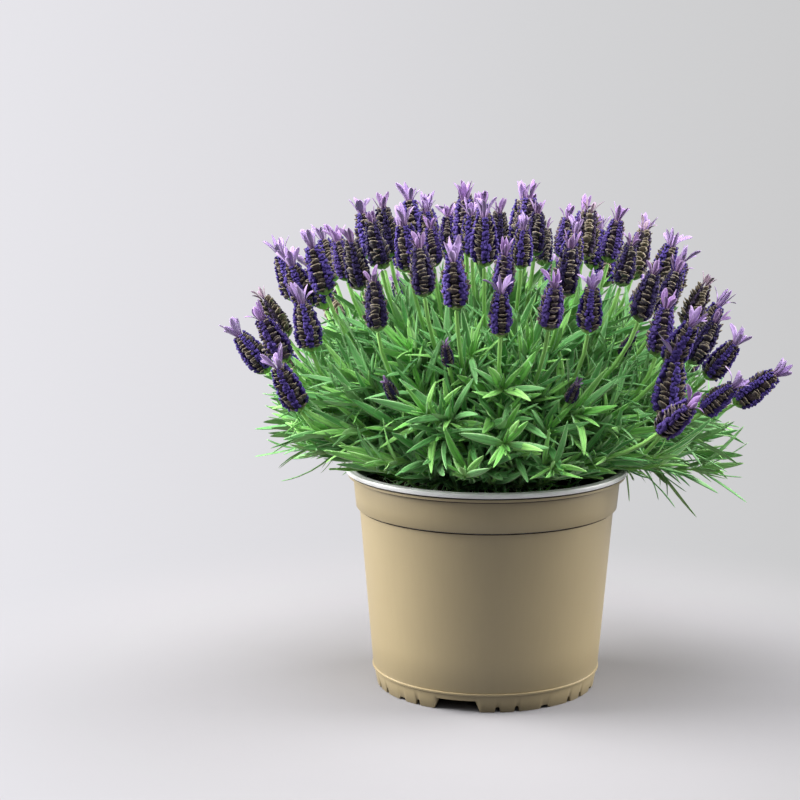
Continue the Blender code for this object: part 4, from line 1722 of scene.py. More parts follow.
@dataclass
class Foliage:
    """All leaves and green stems, bundled by the side of the plant they grow on."""

    pot: NurseryPot
    rng: np.random.Generator
    shoot_count: int = 190
    inner_count: int = 60
    least_tilt: float = 2.0
    most_tilt: float = 84.0
    most_lift: float = 7.0
    leaf_skin: LeafSkin = LeafSkin()
    stem_skin: StemSkin = StemSkin()
    sheaves: dict[Sector, Sheaf] = field(default_factory=lambda: {sector: Sheaf() for sector in Sector})

    def sort(self, points: np.ndarray) -> list[tuple[Sector, np.ndarray]]:
        """Sides of the plant, each with a mask of the points that lie on it."""
        number = Sector.number(np.degrees(np.arctan2(points[:, 1], points[:, 0])))
        return [(sector, number == k) for k, sector in enumerate(Sector)]

    def keep_off_pot(self, places: np.ndarray) -> np.ndarray:
        """Lifts points off the mix and the rim.

        Args:
            places: Points, any shape x 3.

        Returns:
            Lifted points.
        """
        radius = np.hypot(places[..., 0], places[..., 1])
        rim = self.pot.rim_radius
        lowest = np.interp(
            radius,
            [0.0, rim - 20.0, rim - 8.0, rim + 2.0, rim + 6.0, rim + 16.0],
            [125.0, 124.0, 136.5, 136.5, 126.0, 60.0],
        )
        under = lowest - places[..., 2]
        lifted = places.copy()
        lifted[..., 2] = np.where(under > 0.0, lowest + 1.2 * (1.0 - np.exp(-under / 6.0)), places[..., 2])
        return lifted

    def hides_rim(self, places: np.ndarray) -> np.ndarray:
        """Tells which leaves would droop over the bare front and left of the rim.

        Args:
            places: Points, leaves x points x 3.

        Returns:
            A mask of the leaves.
        """
        radius = np.hypot(places[..., 0], places[..., 1])
        azimuth = np.degrees(np.arctan2(places[..., 1], places[..., 0])) % 360.0
        bare = (azimuth > 165.0) & (azimuth < 338.0)
        front = (azimuth > 205.0) & (azimuth < 325.0)
        low = places[..., 2] < 136.0 + 0.22 * np.clip(radius - 68.0, 0.0, 60.0)
        over_mix = front & (places[..., 2] < 133.0) & (radius > 60.0)
        return ((bare & low & (radius > 72.0)) | over_mix).any(axis=1)

    def tip_reach(self, tilt: np.ndarray, azimuth: np.ndarray) -> np.ndarray:
        """How far the shoots' tips stand from the dome's centre.

        Args:
            tilt: Tilts of the tips.
            azimuth: Azimuths of the tips.

        Returns:
            Distances.
        """
        crown = np.full_like(tilt, 112.0)
        middle = around(azimuth, 128.0, 118.0, 120.0, 104.0)
        hem = around(azimuth, 136.0, 112.0, 120.0, 58.0)
        low = np.clip(tilt / 55.0, 0.0, 1.0)
        high = np.clip((tilt - 55.0) / 32.0, 0.0, 1.0)
        return lerp(lerp(crown, middle, low), hem, high)

    def main_shoots(self) -> Arches:
        """Spreads the leafy shoots evenly over the dome.

        Returns:
            Lines of the shoots.
        """
        count = self.shoot_count
        number = np.arange(count) + 0.5
        top, hem = math.cos(math.radians(self.least_tilt)), math.cos(math.radians(self.most_tilt))
        tilt = np.degrees(np.arccos(lerp(top, hem, number / count))) + self.rng.normal(0.0, 2.0, count)
        azimuth = (number * GOLDEN_ANGLE + self.rng.normal(0.0, 6.0, count)) % 360.0
        reach = self.tip_reach(tilt, azimuth) * self.rng.uniform(0.86, 1.03, count)
        lean = tilt * self.rng.uniform(0.75, 1.1, count) + self.rng.normal(0.0, 6.0, count)
        return Arches(azimuth, tilt, reach, lean)

    def inner_shoots(self) -> Arches:
        """Fills the inside of the dome.

        Returns:
            Lines of the shoots.
        """
        count = self.inner_count
        tilt = self.rng.uniform(8.0, 80.0, count)
        azimuth = self.rng.uniform(0.0, 360.0, count)
        reach = self.tip_reach(tilt, azimuth) * self.rng.uniform(0.55, 0.8, count)
        return Arches(azimuth, tilt, reach, tilt + self.rng.normal(0.0, 14.0, count))

    def add_stems(self, arches: Arches, root_half: float, tip_half: float, age: StemAge) -> None:
        """Adds the stems themselves.

        Args:
            arches: Lines of the stems.
            root_half: Half width at the root.
            tip_half: Half width at the tip.
            age: Row of the stem sheet.
        """
        shares = (0.01, 0.08, 0.18, 0.3, 0.42, 0.54, 0.66, 0.78, 0.89, 0.99)
        loft = Loft(shares, 8)
        count = len(arches)
        steps = np.tile(np.array((0.0, *shares, 1.0)), (count, 1))
        middle = arches.at(steps)
        heading = arches.heading(steps[:, 1:-1])
        side = np.repeat(arches.side()[:, None], len(shares), 1)
        front = np.cross(side, heading)
        half = np.tile(lerp(root_half, tip_half, np.array(shares) ** 0.7), (count, 1))
        places = tubes(loft, middle, side, front, half)
        cells = np.stack([self.rng.integers(0, STEM_SHEET.columns, count), np.full(count, age.value)], 1)
        for sector, mask in self.sort(middle[:, -1]):
            self.sheaves[sector].add(loft, places[mask], STEM_SHEET, cells[mask], 1)

    def add_blades(self, form: BladeForm, ages: np.ndarray, trim: bool = True, **frames: np.ndarray) -> None:
        """Adds leaves, sorted by side and lifted off the pot.

        Args:
            form: Form of the leaves.
            ages: Row of the leaf sheet for each leaf.
            trim: Whether leaves that would hide the bare part of the rim are left out.
            frames: What BladeForm.grow takes.
        """
        points = ("seat", "stem", "out")
        flat = {name: value.reshape((-1, 3) if name in points else -1) for name, value in frames.items()}
        grown, ages = form.grow(**flat), ages.reshape(-1)
        places = self.keep_off_pot(grown)
        cells = np.stack([self.rng.integers(0, LEAF_SHEET.columns, len(ages)), ages], 1)
        clear = (places - grown)[..., 2].max(axis=1) < self.most_lift
        if trim:
            clear &= ~self.hides_rim(places)
        places, cells = places[clear], cells[clear]
        for sector, mask in self.sort(places[:, -1]):
            self.sheaves[sector].add(form.loft, places[mask], LEAF_SHEET, cells[mask], 0)

    def clothe(
        self,
        arches: Arches,
        pairs: int,
        start: float,
        end: float,
        longest: float,
        tufts: int,
        rows: tuple[LeafAge, LeafAge],
        rosette: bool = True,
    ) -> None:
        """Sets opposite pairs of leaves on stems, with tufts of small leaves in their axils.

        Args:
            arches: Lines of the stems.
            pairs: Pairs on each stem.
            start: Share of the stem where the leaves begin.
            end: Share of the stem where they end.
            longest: Greatest length of a leaf.
            tufts: Small leaves in each axil.
            rows: Row of the leaf sheet for the outer and for the inner leaves.
            rosette: Whether the stems end in rosettes.
        """
        count = len(arches)
        rng = self.rng
        level = np.linspace(0.0, 1.0, pairs)[None, :] + rng.normal(0.0, 0.02, (count, pairs))
        level = np.clip(level, 0.0, 1.0)
        share = lerp(start, end, level)
        seat, heading = arches.at(share), arches.heading(share)
        side = np.repeat(arches.side()[:, None], pairs, 1)
        front = np.cross(side, heading)
        first = rng.uniform(0.0, 180.0, (count, 1))
        fine = rng.choice((0.58, 0.85, 1.0, 1.12), (count, 1))
        turn = np.radians(first + 90.0 * np.arange(pairs)[None, :] + rng.normal(0.0, 12.0, (count, pairs)))
        for half_turn in (0.0, math.pi):
            angle = (turn + half_turn)[..., None]
            out = side * np.sin(angle) + front * np.cos(angle)
            size = lerp(0.78, 1.0, np.sin(np.pi * np.clip(level * 0.9 + 0.1, 0.0, 1.0)))
            size = size * rng.uniform(0.72, 1.0, level.shape)
            outer = level + rng.normal(0.0, 0.15, level.shape) > 0.34
            length = longest * size
            upturn = np.clip(-out[..., 2], 0.0, 1.0) * 10.0
            self.add_blades(
                LEAF,
                np.where(outer, rows[0].value, rows[1].value),
                seat=seat,
                stem=heading,
                out=out,
                length=length,
                width=(0.7 + length * 0.108) * rng.uniform(0.85, 1.15, length.shape) * fine,
                spread=lerp(56.0, 26.0, level) - upturn + rng.normal(0.0, 8.0, level.shape),
                bow=rng.normal(14.0, 20.0, length.shape),
                sway=rng.normal(0.0, 0.09, length.shape),
                twist=rng.normal(0.0, 28.0, length.shape),
            )
            self.add_tuft(seat, heading, out, level, tufts, longest * 0.52, rows[0])
        if rosette:
            self.add_rosette(arches, longest * 0.74)

    def add_tuft(
        self,
        seat: np.ndarray,
        heading: np.ndarray,
        out: np.ndarray,
        level: np.ndarray,
        leaves: int,
        longest: float,
        age: LeafAge,
    ) -> None:
        """Adds small leaves in the axils.

        Args:
            seat: Places of the axils, stems x pairs x 3.
            heading: Directions of the stems there.
            out: Directions of the big leaves.
            level: Share of the leafy length at each axil.
            leaves: Small leaves in each axil.
            longest: Greatest length of a small leaf.
            age: Row of the leaf sheet.
        """
        rng = self.rng
        across = np.cross(heading, out)
        for _ in range(leaves):
            swing = np.radians(rng.normal(0.0, 44.0, level.shape))[..., None]
            way = out * np.cos(swing) + across * np.sin(swing)
            length = longest * rng.uniform(0.5, 1.0, level.shape)
            self.add_blades(
                LEAFLET,
                np.where(rng.random(level.shape) < 0.3, LeafAge.YOUNG.value, age.value),
                seat=seat,
                stem=heading,
                out=way,
                length=length,
                width=0.6 + length * 0.075,
                spread=rng.uniform(10.0, 52.0, length.shape),
                bow=rng.normal(12.0, 34.0, length.shape),
            )

    def add_rosette(self, arches: Arches, longest: float) -> None:
        """Ends each stem in a rosette of young leaves.

        Args:
            arches: Lines of the stems.
            longest: Greatest length of a leaf.
        """
        rng = self.rng
        count = len(arches)
        ends = np.ones((count, 1))
        seat, heading = arches.at(ends * 0.985)[:, 0], arches.heading(ends)[:, 0]
        side = arches.side()
        front = np.cross(side, heading)
        first = rng.uniform(0.0, math.tau, count)
        for number in range(6):
            angle = (first + math.pi * (number % 2) + math.pi / 3.2 * (number // 2))[:, None]
            out = side * np.sin(angle) + front * np.cos(angle)
            length = longest * lerp(1.0, 0.5, (number // 2) / 2.0) * rng.uniform(0.75, 1.05, count)
            age = LeafAge.GROWN if number < 2 else LeafAge.YOUNG
            self.add_blades(
                LEAF if number < 4 else LEAFLET,
                np.full(count, age.value),
                seat=seat,
                stem=heading,
                out=out,
                length=length,
                width=0.7 + length * 0.115,
                spread=lerp(34.0, 12.0, (number // 2) / 2.0) + rng.normal(0.0, 6.0, count),
                bow=rng.normal(12.0, 14.0, count),
                twist=rng.normal(0.0, 18.0, count),
            )

    def add_loose(self, loose: LooseLeaves) -> None:
        """Adds old, curled leaves.

        Args:
            loose: What they are like.
        """
        rng, count = self.rng, loose.count
        azimuth = rng.uniform(*loose.azimuths, count)
        radius = rng.uniform(*loose.radii, count)
        seat = turned(np.stack([radius, np.zeros(count), rng.uniform(*loose.levels, count)], 1), azimuth)
        tilt = rng.uniform(*loose.tilts, count)
        stem = turned(leaning(tilt), azimuth + rng.normal(0.0, loose.stray, count))
        out = unit(np.cross(stem, rng.normal(0.0, 1.0, (count, 3))))
        length = rng.uniform(*loose.lengths, count)
        self.add_blades(
            LEAFLET,
            rng.choice([age.value for age in loose.ages], count),
            loose.trim,
            seat=seat,
            stem=stem,
            out=out,
            length=length,
            width=rng.uniform(*loose.widths, count),
            spread=rng.uniform(0.0, 20.0, count),
            bow=rng.normal(0.0, loose.curl, count),
            twist=rng.normal(0.0, loose.twist, count),
        )

    def write(self, node_sides: dict[str, Sector]) -> None:
        """Writes one piece for each side.

        Args:
            node_sides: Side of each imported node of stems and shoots.
        """
        finishes = [self.leaf_skin.material(), self.stem_skin.material()]
        for sector, sheaf in self.sheaves.items():
            piece = sheaf.write(f"foliage_{sector.value}", finishes, self.pot.foot)
            settle(piece, [name for name, side in node_sides.items() if side is sector])


# ---- flower heads


@dataclass(frozen=True)
class HeadLook:
    """What sets the heads of one stage apart.

    Attributes:
        florets: Florets in each column at each level.
        floret_length: Length of a floret.
        ear_length: Length of an ear.
        ear_width: Width of an ear.
        ears: Number of ears.
        openness: Added spread of the bracts, in degrees.
    """

    florets: int
    floret_length: float
    ear_length: float
    ear_width: float
    ears: int
    openness: float


HEAD_LOOKS = {
    HeadStage.BLOOM: HeadLook(3, 3.9, 13.8, 4.2, 7, 4.0),
    HeadStage.VIOLET: HeadLook(3, 3.6, 13.0, 3.8, 6, 2.0),
    HeadStage.DUSKY: HeadLook(2, 3.0, 10.5, 3.1, 6, -4.0),
    HeadStage.FADED: HeadLook(1, 2.6, 9.5, 2.7, 5, 8.0),
}


@dataclass
class FlowerHead:
    """One head: cup, core, ranks of bracts, florets between them and ears on top.

    Attributes:
        rng: Source of chance.
        stage: How far it has come.
        tip: Tip of its stem, in the plant's frame.
        axis: Direction of the head.
        side: A direction at a right angle to it.
        size: Share of the full size.
        sheaf: Sheaf that it goes into.
        ranks: Ranks of bracts round the axis.
        levels: Bracts in each rank.
    """

    rng: np.random.Generator
    stage: HeadStage
    tip: np.ndarray
    axis: np.ndarray
    side: np.ndarray
    size: float = 1.0
    sheaf: Sheaf = field(default_factory=Sheaf)
    ranks: int = 4
    levels: int = 13
    spike_length: float = 26.0
    cup_height: float = 3.0
    core_radius: float = 4.4
    bract_length: float = 5.4
    bract_width: float = 6.0

    @property
    def look(self) -> HeadLook:
        """Look of its stage."""
        return HEAD_LOOKS[self.stage]

    def swell(self, share: np.ndarray) -> np.ndarray:
        """Radius of the head along it, as a share of the greatest."""
        return np.interp(share, [0.0, 0.15, 0.35, 0.7, 1.0], [0.82, 1.0, 1.02, 0.86, 0.6])

    def spots(
        self, share: np.ndarray, angle: np.ndarray, radius: np.ndarray
    ) -> tuple[np.ndarray, np.ndarray]:
        """Finds places round the axis, in the head's own frame.

        Args:
            share: Shares of the way up the head.
            angle: Angles round the axis, in radians.
            radius: Distances from the axis.

        Returns:
            The places and their outward directions.
        """
        out = np.stack([np.cos(angle), np.sin(angle), np.zeros_like(angle)], -1)
        spot = out * radius[:, None]
        spot[:, 2] = self.cup_height + share * self.spike_length
        return spot, out

    def lay(self, loft: Loft, points: np.ndarray, part: HeadPart) -> None:
        """Moves forms from the head's own frame to its stem's tip.

        Args:
            loft: Kind of form.
            points: Points, forms x loft.size x 3.
            part: What they are.
        """
        frame = np.stack([self.side, np.cross(self.axis, self.side), self.axis])
        cells = np.tile(np.array([self.stage.value, part.value]), (len(points), 1))
        slot = min(part.value, HeadPart.CUP.value)
        self.sheaf.add(loft, points * self.size @ frame + self.tip, HEAD_SHEET, cells, slot)

    def add_blades(
        self, form: BladeForm, part: HeadPart, spots: tuple[np.ndarray, np.ndarray], **shape: Any
    ) -> None:
        """Adds blades that grow out from the axis.

        Args:
            form: Form of the blades.
            part: What they are.
            spots: Their seats and their outward directions.
            shape: The other values that BladeForm.grow takes.
        """
        seat, out = spots
        blades = form.grow(seat, np.tile(UP, (len(seat), 1)), out, **shape)
        self.lay(form.loft, blades, part)

    def build(self) -> None:
        """Builds the whole head."""
        for add in (self.add_core, self.add_whorl, self.add_bracts, self.add_florets, self.add_ears):
            add()

    def add_core(self) -> None:
        """Adds the cup and the core inside the bracts."""
        loft = Loft((0.02, 0.08, 0.2, 0.4, 0.6, 0.8, 0.96), 10)
        levels = np.array([0.2, 1.6, 3.4, 9.0, 15.0, 21.0, 27.0])
        radii = np.array([1.0, 2.6, 4.6, 5.0, 4.9, 4.2, 2.6])
        ring = hoop(radii[:, None], levels[:, None], full_turn(loft.points))
        ends = np.array([[0.0, 0.0, 0.0], [0.0, 0.0, 28.0]])
        self.lay(loft, np.concatenate([ring.reshape(-1, 3), ends])[None], HeadPart.CORE)

    def add_whorl(self) -> None:
        """Adds the small green bracts under the head."""
        rng, count = self.rng, 8
        angle = math.tau * (np.arange(count) + rng.uniform(0.0, 0.4, count)) / count
        self.add_blades(
            LEAFLET,
            HeadPart.CUP,
            self.spots(np.full(count, -0.08), angle, np.full(count, 1.8)),
            length=rng.uniform(5.0, 7.0, count),
            width=np.full(count, 3.4),
            spread=np.full(count, 66.0),
            bow=np.full(count, -34.0),
        )

    def add_bracts(self) -> None:
        """Adds ranks of overlapping bracts."""
        rng, ranks = self.rng, self.ranks
        count = ranks * self.levels
        level = np.repeat(np.arange(self.levels), ranks)
        share = (level + rng.uniform(-0.34, 0.3, count)) / self.levels
        angle = math.tau / ranks * np.tile(np.arange(ranks), self.levels) + rng.normal(0.0, 0.13, count)
        wide = self.swell(share)
        size = wide * rng.uniform(0.72, 1.14, count)
        self.add_blades(
            BRACT,
            HeadPart.BRACT,
            self.spots(share, angle, self.core_radius * wide),
            length=self.bract_length * size,
            width=self.bract_width * size,
            spread=lerp(66.0, 42.0, share) + self.look.openness + rng.normal(0.0, 8.0, count),
            bow=rng.normal(-40.0, 12.0, count),
            twist=rng.normal(0.0, 17.0, count),
        )

    def add_florets(self) -> None:
        """Adds the columns of florets between the ranks."""
        rng, ranks, each = self.rng, self.ranks, self.look.florets
        count = ranks * (self.levels + 1) * each
        number = np.arange(count)
        rank = number % ranks
        level = number // (ranks * each)
        seat = (number // ranks) % each
        share = np.clip((level + 0.35 + rng.uniform(-0.25, 0.25, count)) / (self.levels + 0.6), 0.0, 0.98)
        spacing = 0.62 / max(each, 1)
        angle = math.tau / ranks * (rank + 0.5) + (seat - (each - 1) / 2.0) * spacing
        angle += rng.normal(0.0, 0.05, count)
        wide = self.swell(share)
        spot, out = self.spots(share, angle, self.core_radius * wide)
        length = self.look.floret_length * wide * rng.uniform(0.8, 1.15, count)
        rise = np.radians(rng.normal(30.0, 9.0, count))[:, None]
        heading = out * np.cos(rise) + UP * np.sin(rise)
        side = unit(np.cross(UP, heading))
        front = np.cross(side, heading)
        shares = (0.08, 0.45, 0.74, 0.92)
        halves = np.array([0.5, 0.7, 1.1, 0.95])
        loft, rings = Loft(shares, 6), len(shares)
        steps = np.array((0.0, *shares, 0.8))
        middle = spot[:, None] + heading[:, None] * (steps[None, :, None] * length[:, None, None])
        half = halves[None] * rng.uniform(0.8, 1.15, (count, 1)) * wide[:, None]
        sides, fronts = (np.repeat(way[:, None], rings, 1) for way in (side, front))
        bells = tubes(loft, middle, sides, fronts, half)
        mouth = slice(2 * loft.points, 4 * loft.points)
        bells[:, mouth] += rng.normal(0.0, 0.16, (count, 2 * loft.points, 3))
        self.lay(loft, bells, HeadPart.FLORET)

    def add_ears(self) -> None:
        """Adds the ears."""
        rng, look = self.rng, self.look
        count = look.ears
        angle = math.tau * (np.arange(count) + rng.uniform(-0.25, 0.25, count)) / count
        angle += rng.uniform(0.0, 6.0)
        self.add_blades(
            EAR,
            HeadPart.EAR,
            self.spots(np.full(count, 0.97), angle, rng.uniform(1.2, 2.0, count)),
            length=look.ear_length * rng.uniform(0.7, 1.12, count),
            width=look.ear_width * rng.uniform(0.7, 1.1, count),
            spread=rng.uniform(4.0, 20.0, count),
            bow=rng.normal(16.0, 26.0, count),
            sway=rng.normal(0.0, 0.14, count),
            twist=rng.normal(0.0, 38.0, count),
        )


@dataclass(frozen=True)
class StemTier:
    """Stems whose tips stand at one height of the dome.

    Attributes:
        tilt: Tilt of the tips about the dome's centre.
        reach: Their distance from it.
        lean: Lean of the stems at their tips.
        azimuths: Which way each stands.
        size: Share of the full size of their heads.
    """

    tilt: float
    reach: float
    lean: float
    azimuths: tuple[float, ...]
    size: float = 1.0


NUMBERED_TIERS = (
    StemTier(9.0, 144.0, 3.0, (-125.0, 0.0, 125.0)),
    StemTier(23.0, 149.0, 9.0, (-170.0, -92.0, -20.0, 70.0, 140.0)),
    StemTier(36.0, 152.0, 15.0, (-143.0, -113.0, -62.0, 14.0, 104.0)),
    StemTier(46.0, 157.0, 20.0, (-42.0, 50.0, 178.0)),
    StemTier(57.0, 146.0, 30.0, (-161.0, -18.0, 138.0)),
    StemTier(66.0, 134.0, 28.0, (-150.0, 92.0)),
    StemTier(70.0, 155.0, 52.0, (-50.0, -8.0)),
)
FILLING_TIERS = (
    StemTier(5.0, 138.0, 2.0, (-60.0,), 0.85),
    StemTier(14.0, 144.0, 6.0, (-165.0, -105.0, -40.0, 48.0, 95.0, 165.0), 0.85),
    StemTier(19.0, 142.0, 8.0, (-132.0, -66.0, 18.0, 120.0), 0.78),
    StemTier(28.0, 151.0, 12.0, (-150.0, -128.0, -50.0, 2.0, 40.0, 96.0, 120.0, 168.0), 0.9),
    StemTier(34.0, 149.0, 14.0, (-172.0, -84.0, -24.0, 40.0, 66.0, 140.0, 180.0), 0.85),
    StemTier(40.0, 154.0, 17.0, (-160.0, -100.0, -8.0, 28.0, 80.0, 122.0, 160.0), 0.95),
    StemTier(45.0, 152.0, 20.0, (-72.0, -24.0, 8.0, 194.0), 0.9),
    StemTier(50.0, 152.0, 24.0, (-8.0, 26.0, 70.0, 98.0, 150.0), 0.9),
    StemTier(56.0, 150.0, 32.0, (-36.0, 6.0, 44.0, 115.0, 168.0), 0.95),
    StemTier(62.0, 147.0, 38.0, (-12.0, 20.0, 64.0, 186.0), 0.9),
    StemTier(68.0, 148.0, 48.0, (-28.0, 30.0, 120.0, 150.0), 0.85),
    StemTier(67.0, 136.0, 9.0, (-37.0,), 1.12),
    StemTier(52.0, 140.0, 12.0, (-156.0, -30.0), 0.95),
    StemTier(44.0, 143.0, 8.0, (-128.0, -86.0, -56.0), 0.9),
)
BUD_TIERS = (
    StemTier(46.0, 122.0, 34.0, (-104.0, -30.0), 0.5),
    StemTier(56.0, 116.0, 40.0, (-122.0, -62.0), 0.5),
)
NUMBERED_SHOOTS = (
    StemTier(74.0, 102.0, 84.0, (-126.0,)),
    StemTier(76.0, 104.0, 88.0, (-97.0,)),
    StemTier(74.0, 104.0, 84.0, (-68.0,)),
    StemTier(50.0, 112.0, 62.0, (-84.0,)),
    StemTier(76.0, 118.0, 84.0, (-30.0,)),
    StemTier(73.0, 124.0, 78.0, (18.0,)),
    StemTier(72.0, 114.0, 80.0, (62.0, 114.0)),
    StemTier(74.0, 108.0, 82.0, (158.0,)),
    StemTier(72.0, 108.0, 84.0, (-176.0,)),
)
FRONT_SHOOTS = (
    StemTier(58.0, 108.0, 66.0, (-112.0, -58.0)),
    StemTier(66.0, 106.0, 76.0, (-141.0, -40.0, -84.0)),
    StemTier(38.0, 112.0, 44.0, (-128.0, -70.0, -98.0)),
    StemTier(64.0, 122.0, 70.0, (-164.0, -10.0, 34.0, 168.0)),
)


@dataclass
class FlowerSpikes:
    """All flower heads and their stems."""

    pot: NurseryPot
    foliage: Foliage
    rng: np.random.Generator
    faded: tuple[int, ...] = (6, 12, 19)
    stage_shares: tuple[float, ...] = (0.46, 0.28, 0.18, 0.08)
    finishes: tuple[HeadFinish, ...] = (
        BractSkin(
            "bract_skin",
            (tone(70, 56, 60), tone(74, 55, 80), tone(48, 39, 55), tone(94, 82, 68)),
        ),
        FloretVelvet(
            "floret_velvet",
            (tone(49, 36, 102), tone(62, 44, 96), tone(38, 30, 64), tone(60, 48, 70)),
        ),
        EarPetal(
            "ear_petal",
            (tone(172, 145, 198), tone(160, 124, 184), tone(136, 106, 154), tone(156, 134, 146)),
        ),
        CupGreen(
            "cup_green",
            (tone(134, 172, 92), tone(130, 164, 92), tone(112, 142, 84), tone(142, 150, 104)),
        ),
    )

    def arches(self, tiers: Sequence[StemTier]) -> tuple[Arches, np.ndarray]:
        """Lays out the stems of several tiers.

        Args:
            tiers: Tiers, in order.

        Returns:
            The stems' lines and the sizes of their heads.
        """
        rows = [(a, tier.tilt, tier.reach, tier.lean, tier.size) for tier in tiers for a in tier.azimuths]
        table = np.array(rows)
        return Arches(table[:, 0], table[:, 1], table[:, 2], table[:, 3]), table[:, 4]

    def heads(self, arches: Arches, sizes: np.ndarray, stages: Sequence[HeadStage]) -> list[FlowerHead]:
        """Makes the heads at the ends of stems.

        Args:
            arches: Lines of the stems.
            sizes: Sizes of the heads.
            stages: Stages of the heads.

        Returns:
            The heads.
        """
        ends = np.ones((len(arches), 1))
        tips, axes = arches.at(ends)[:, 0], turned(leaning(arches.lean), arches.azimuth)
        sides = arches.side()
        heads = []
        for tip, axis, side, size, stage in zip(tips, axes, sides, sizes, stages):
            turn = self.rng.uniform(0.0, math.tau)
            across = side * math.cos(turn) + np.cross(axis, side) * math.sin(turn)
            heads.append(FlowerHead(self.rng, stage, tip, axis, across, float(size)))
        return heads

    def stages(self, count: int) -> list[HeadStage]:
        """Draws stages for heads."""
        drawn = self.rng.choice(len(HeadStage), count, p=self.stage_shares)
        return [HeadStage(int(value)) for value in drawn]

    def build(self) -> None:
        """Builds the heads, and adds their stems to the foliage."""
        materials = [finish.material() for finish in self.finishes]
        numbered, sizes = self.arches(NUMBERED_TIERS)
        stages = self.stages(len(numbered))
        for number in range(1, len(numbered) + 1):
            if number in self.faded:
                stages[number - 1] = HeadStage.FADED
            elif stages[number - 1] is HeadStage.FADED:
                stages[number - 1] = HeadStage.VIOLET
        for number, head in enumerate(self.heads(numbered, sizes, stages), start=1):
            head.build()
            piece = head.sheaf.write(f"lavender_head_{number:02d}", materials, self.pot.foot)
            settle(piece, [f"flower_head_{number:02d}"])
        filling, sizes = self.arches(FILLING_TIERS)
        buds, bud_sizes = self.arches(BUD_TIERS)
        heads = self.heads(filling, sizes * self.rng.uniform(0.92, 1.08, len(sizes)), self.stages(len(sizes)))
        heads += self.heads(buds, bud_sizes, [HeadStage.DUSKY] * len(bud_sizes))
        bundles = {sector: Sheaf() for sector in Sector}
        for head in heads:
            sector = [s for s, mask in self.foliage.sort(head.tip[None]) if mask[0]][0]
            head.sheaf = bundles[sector]
            head.build()
        for sector, sheaf in bundles.items():
            if sheaf.count:
                settle(sheaf.write(f"lavender_heads_{sector.value}", materials, self.pot.foot), [])
        for arches in (numbered, filling, buds):
            self.foliage.add_stems(arches, 1.3, 1.1, StemAge.GREEN)
            self.foliage.clothe(arches, 5, 0.28, 0.66, 40.0, 2, (LeafAge.SHADED_INNER, LeafAge.SHADED_INNER), False)

    def node_sides(self) -> dict[str, Sector]:
        """Finds the side of each imported stem and shoot.

        Returns:
            Side of each node.
        """
        sides = {}
        for kind, tiers in (("flower_stem", NUMBERED_TIERS), ("leafy_shoot", NUMBERED_SHOOTS)):
            for number, azimuth in enumerate(self.arches(tiers)[0].azimuth, start=1):
                sides[f"{kind}_{number:02d}"] = list(Sector)[Sector.number(azimuth)]
        return sides


# ---- studio


@dataclass(frozen=True)
class SoftLight:
    """A square soft light.

    Attributes:
        name: Name of the light.
        azimuth: Which way it stands from the pot, in degrees.
        height: Angle above the horizon, in degrees.
        away: Distance in metres.
        size: Side in metres.
        power: Power in watts.
        colour: Colour of its light.
    """

    name: str
    azimuth: float
    height: float
    away: float
    size: float
    power: float
    colour: tuple[float, float, float]

    def build(self, aim: np.ndarray) -> None:
        """Adds the light.

        Args:
            aim: Where it points, in metres.
        """
        data = bpy.data.lights.new(self.name, "AREA")
        data.energy, data.size, data.color = self.power, self.size, self.colour
        way = turned(leaning(np.array([90.0 - self.height])), np.array([self.azimuth]))[0]
        light = in_scene(self.name, data)
        light.location = aim + way * self.away
        light.rotation_euler = Vector(tuple(-way)).to_track_quat("-Z", "Y").to_euler()


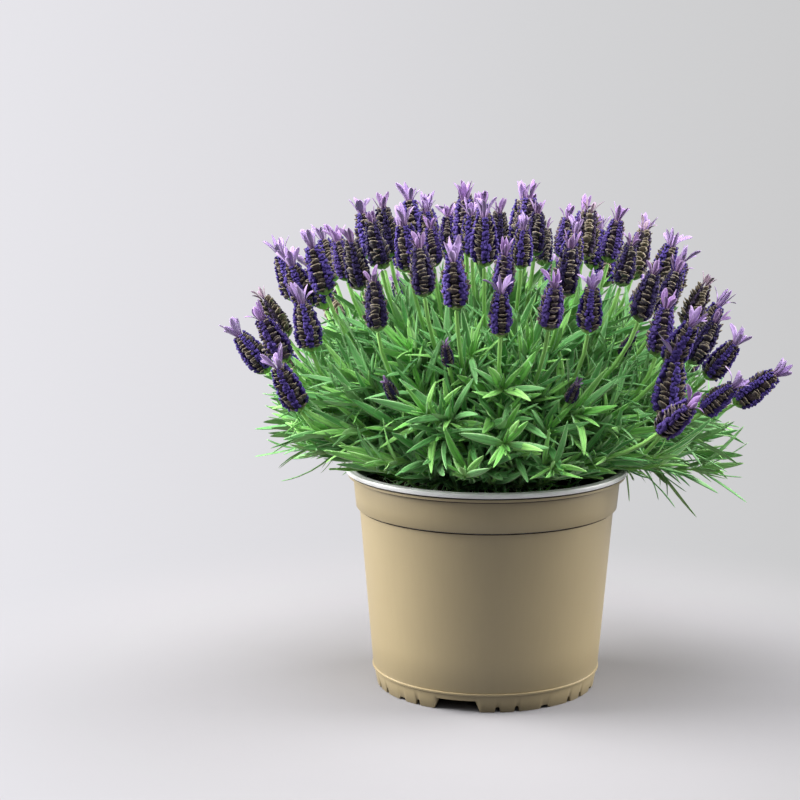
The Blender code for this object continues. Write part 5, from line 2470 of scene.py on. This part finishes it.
@dataclass
class StudioSet:
    """Pale sweep, soft lights and the camera."""

    foot: np.ndarray
    distance: float = 1.25
    eye_height: float = 0.388
    turn: float = 2.385
    dip: float = 9.76
    lens: float = 95.3
    film_width: float = 36.0
    clip: tuple[float, float] = (0.01, 50.0)
    floor_radius: float = 2.4
    wall_radius: float = 4.2
    wall_height: float = 3.0
    sweep_sides: int = 96
    aim_height: float = 0.16
    air: Colour = tone(214, 216, 224)
    air_strength: float = 0.12
    lights: tuple[SoftLight, ...] = (
        SoftLight("key_left", 173.0, 28.0, 1.5, 1.1, 70.0, (1.0, 0.985, 0.96)),
        SoftLight("fill_right", 14.0, 26.0, 1.6, 1.2, 55.0, (1.0, 0.98, 0.95)),
        SoftLight("overhead", -100.0, 76.0, 1.5, 1.1, 29.0, (0.98, 0.98, 1.0)),
        SoftLight("front_soft", -96.0, 38.0, 1.7, 1.3, 5.0, (1.0, 1.0, 1.0)),
    )

    @property
    def eye(self) -> tuple[float, float, float]:
        """Where the camera stands, in metres."""
        return (self.foot[0] * MM, self.foot[1] * MM - self.distance, self.eye_height)

    def build(self) -> None:
        """Builds the whole set."""
        self.add_sweep()
        aim = np.array([self.foot[0] * MM, self.foot[1] * MM, self.aim_height])
        for light in self.lights:
            light.build(aim)
        self.add_world()
        self.add_camera()

    def add_sweep(self) -> None:
        """Adds the floor, which curves up into a wall all round."""
        sides = self.sweep_sides
        bend = math.pi / 2.0 * np.arange(13) / 12
        radii = self.floor_radius + (self.wall_radius - self.floor_radius) * np.sin(bend)
        levels = self.wall_height / 2.0 * (1.0 - np.cos(bend))
        profile = [*zip(radii, levels), (self.wall_radius, self.wall_height)]
        rings = [hoop(radius, level, full_turn(sides)) for radius, level in profile]
        points = np.concatenate([np.zeros((1, 3)), *rings]) + self.foot * MM
        faces: list[tuple[int, ...]] = []
        for side in range(sides):
            after = (side + 1) % sides
            faces.append((0, 1 + side, 1 + after))
            for ring in range(len(profile) - 1):
                low, high = 1 + ring * sides, 1 + (ring + 1) * sides
                faces.append((low + side, high + side, high + after, low + after))
        mesh = bpy.data.meshes.new("studio_sweep")
        mesh.from_pydata(points.tolist(), [], faces)
        mesh.materials.append(StudioPaper(self.eye[:2]).material())
        smooth_over(mesh)
        in_scene("studio_sweep", mesh)

    def add_world(self) -> None:
        """Adds a weak, even light from all round."""
        world = bpy.data.worlds.new("studio_air")
        world.use_nodes = True
        background = world.node_tree.nodes["Background"]
        background.inputs["Color"].default_value = self.air
        background.inputs["Strength"].default_value = self.air_strength
        bpy.context.scene.world = world

    def add_camera(self) -> None:
        """Adds the camera."""
        data = bpy.data.cameras.new("camera")
        data.lens = self.lens
        data.sensor_width = self.film_width
        data.clip_start, data.clip_end = self.clip
        camera = in_scene("camera", data)
        camera.location = self.eye
        camera.rotation_euler = (math.radians(90.0 - self.dip), 0.0, math.radians(self.turn))
        bpy.context.scene.camera = camera
        bpy.context.scene.view_settings.view_transform = "Standard"


def main() -> None:
    """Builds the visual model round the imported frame."""
    logging.basicConfig(level=logging.INFO, format="%(name)s: %(message)s", force=True)
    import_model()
    low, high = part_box("nursery_pot")
    foot = np.array([(low.x + high.x) / 2.0, (low.y + high.y) / 2.0, 0.0]) / MM
    StudioSet(foot).build()
    rng = np.random.default_rng(SEED)
    pot = NurseryPot(foot)
    pot.build()
    PottingMix(pot, rng).build()
    WoodyCrown(pot).build()
    foliage = Foliage(pot, rng)
    spikes = FlowerSpikes(pot, foliage, rng)
    spikes.build()
    leaders, _ = spikes.arches(NUMBERED_SHOOTS + FRONT_SHOOTS)
    foliage.add_stems(leaders, 1.4, 0.9, StemAge.GREEN)
    foliage.clothe(leaders, 6, 0.46, 0.95, 50.0, 2, (LeafAge.YOUNG, LeafAge.GROWN))
    shoots = foliage.main_shoots()
    foliage.add_stems(shoots, 1.1, 0.6, StemAge.GREEN)
    foliage.clothe(shoots, 7, 0.36, 0.95, 50.0, 3, (LeafAge.GROWN, LeafAge.SHADED_INNER))
    inner = foliage.inner_shoots()
    foliage.add_stems(inner, 1.0, 0.6, StemAge.WOODY)
    foliage.clothe(inner, 5, 0.3, 0.95, 32.0, 1, (LeafAge.SHADED_INNER, LeafAge.SHADED_INNER))
    foliage.add_loose(WISPS)
    foliage.add_loose(CURLS_ON_MIX)
    foliage.write(spikes.node_sides())


if __name__ == "__main__":
    main()
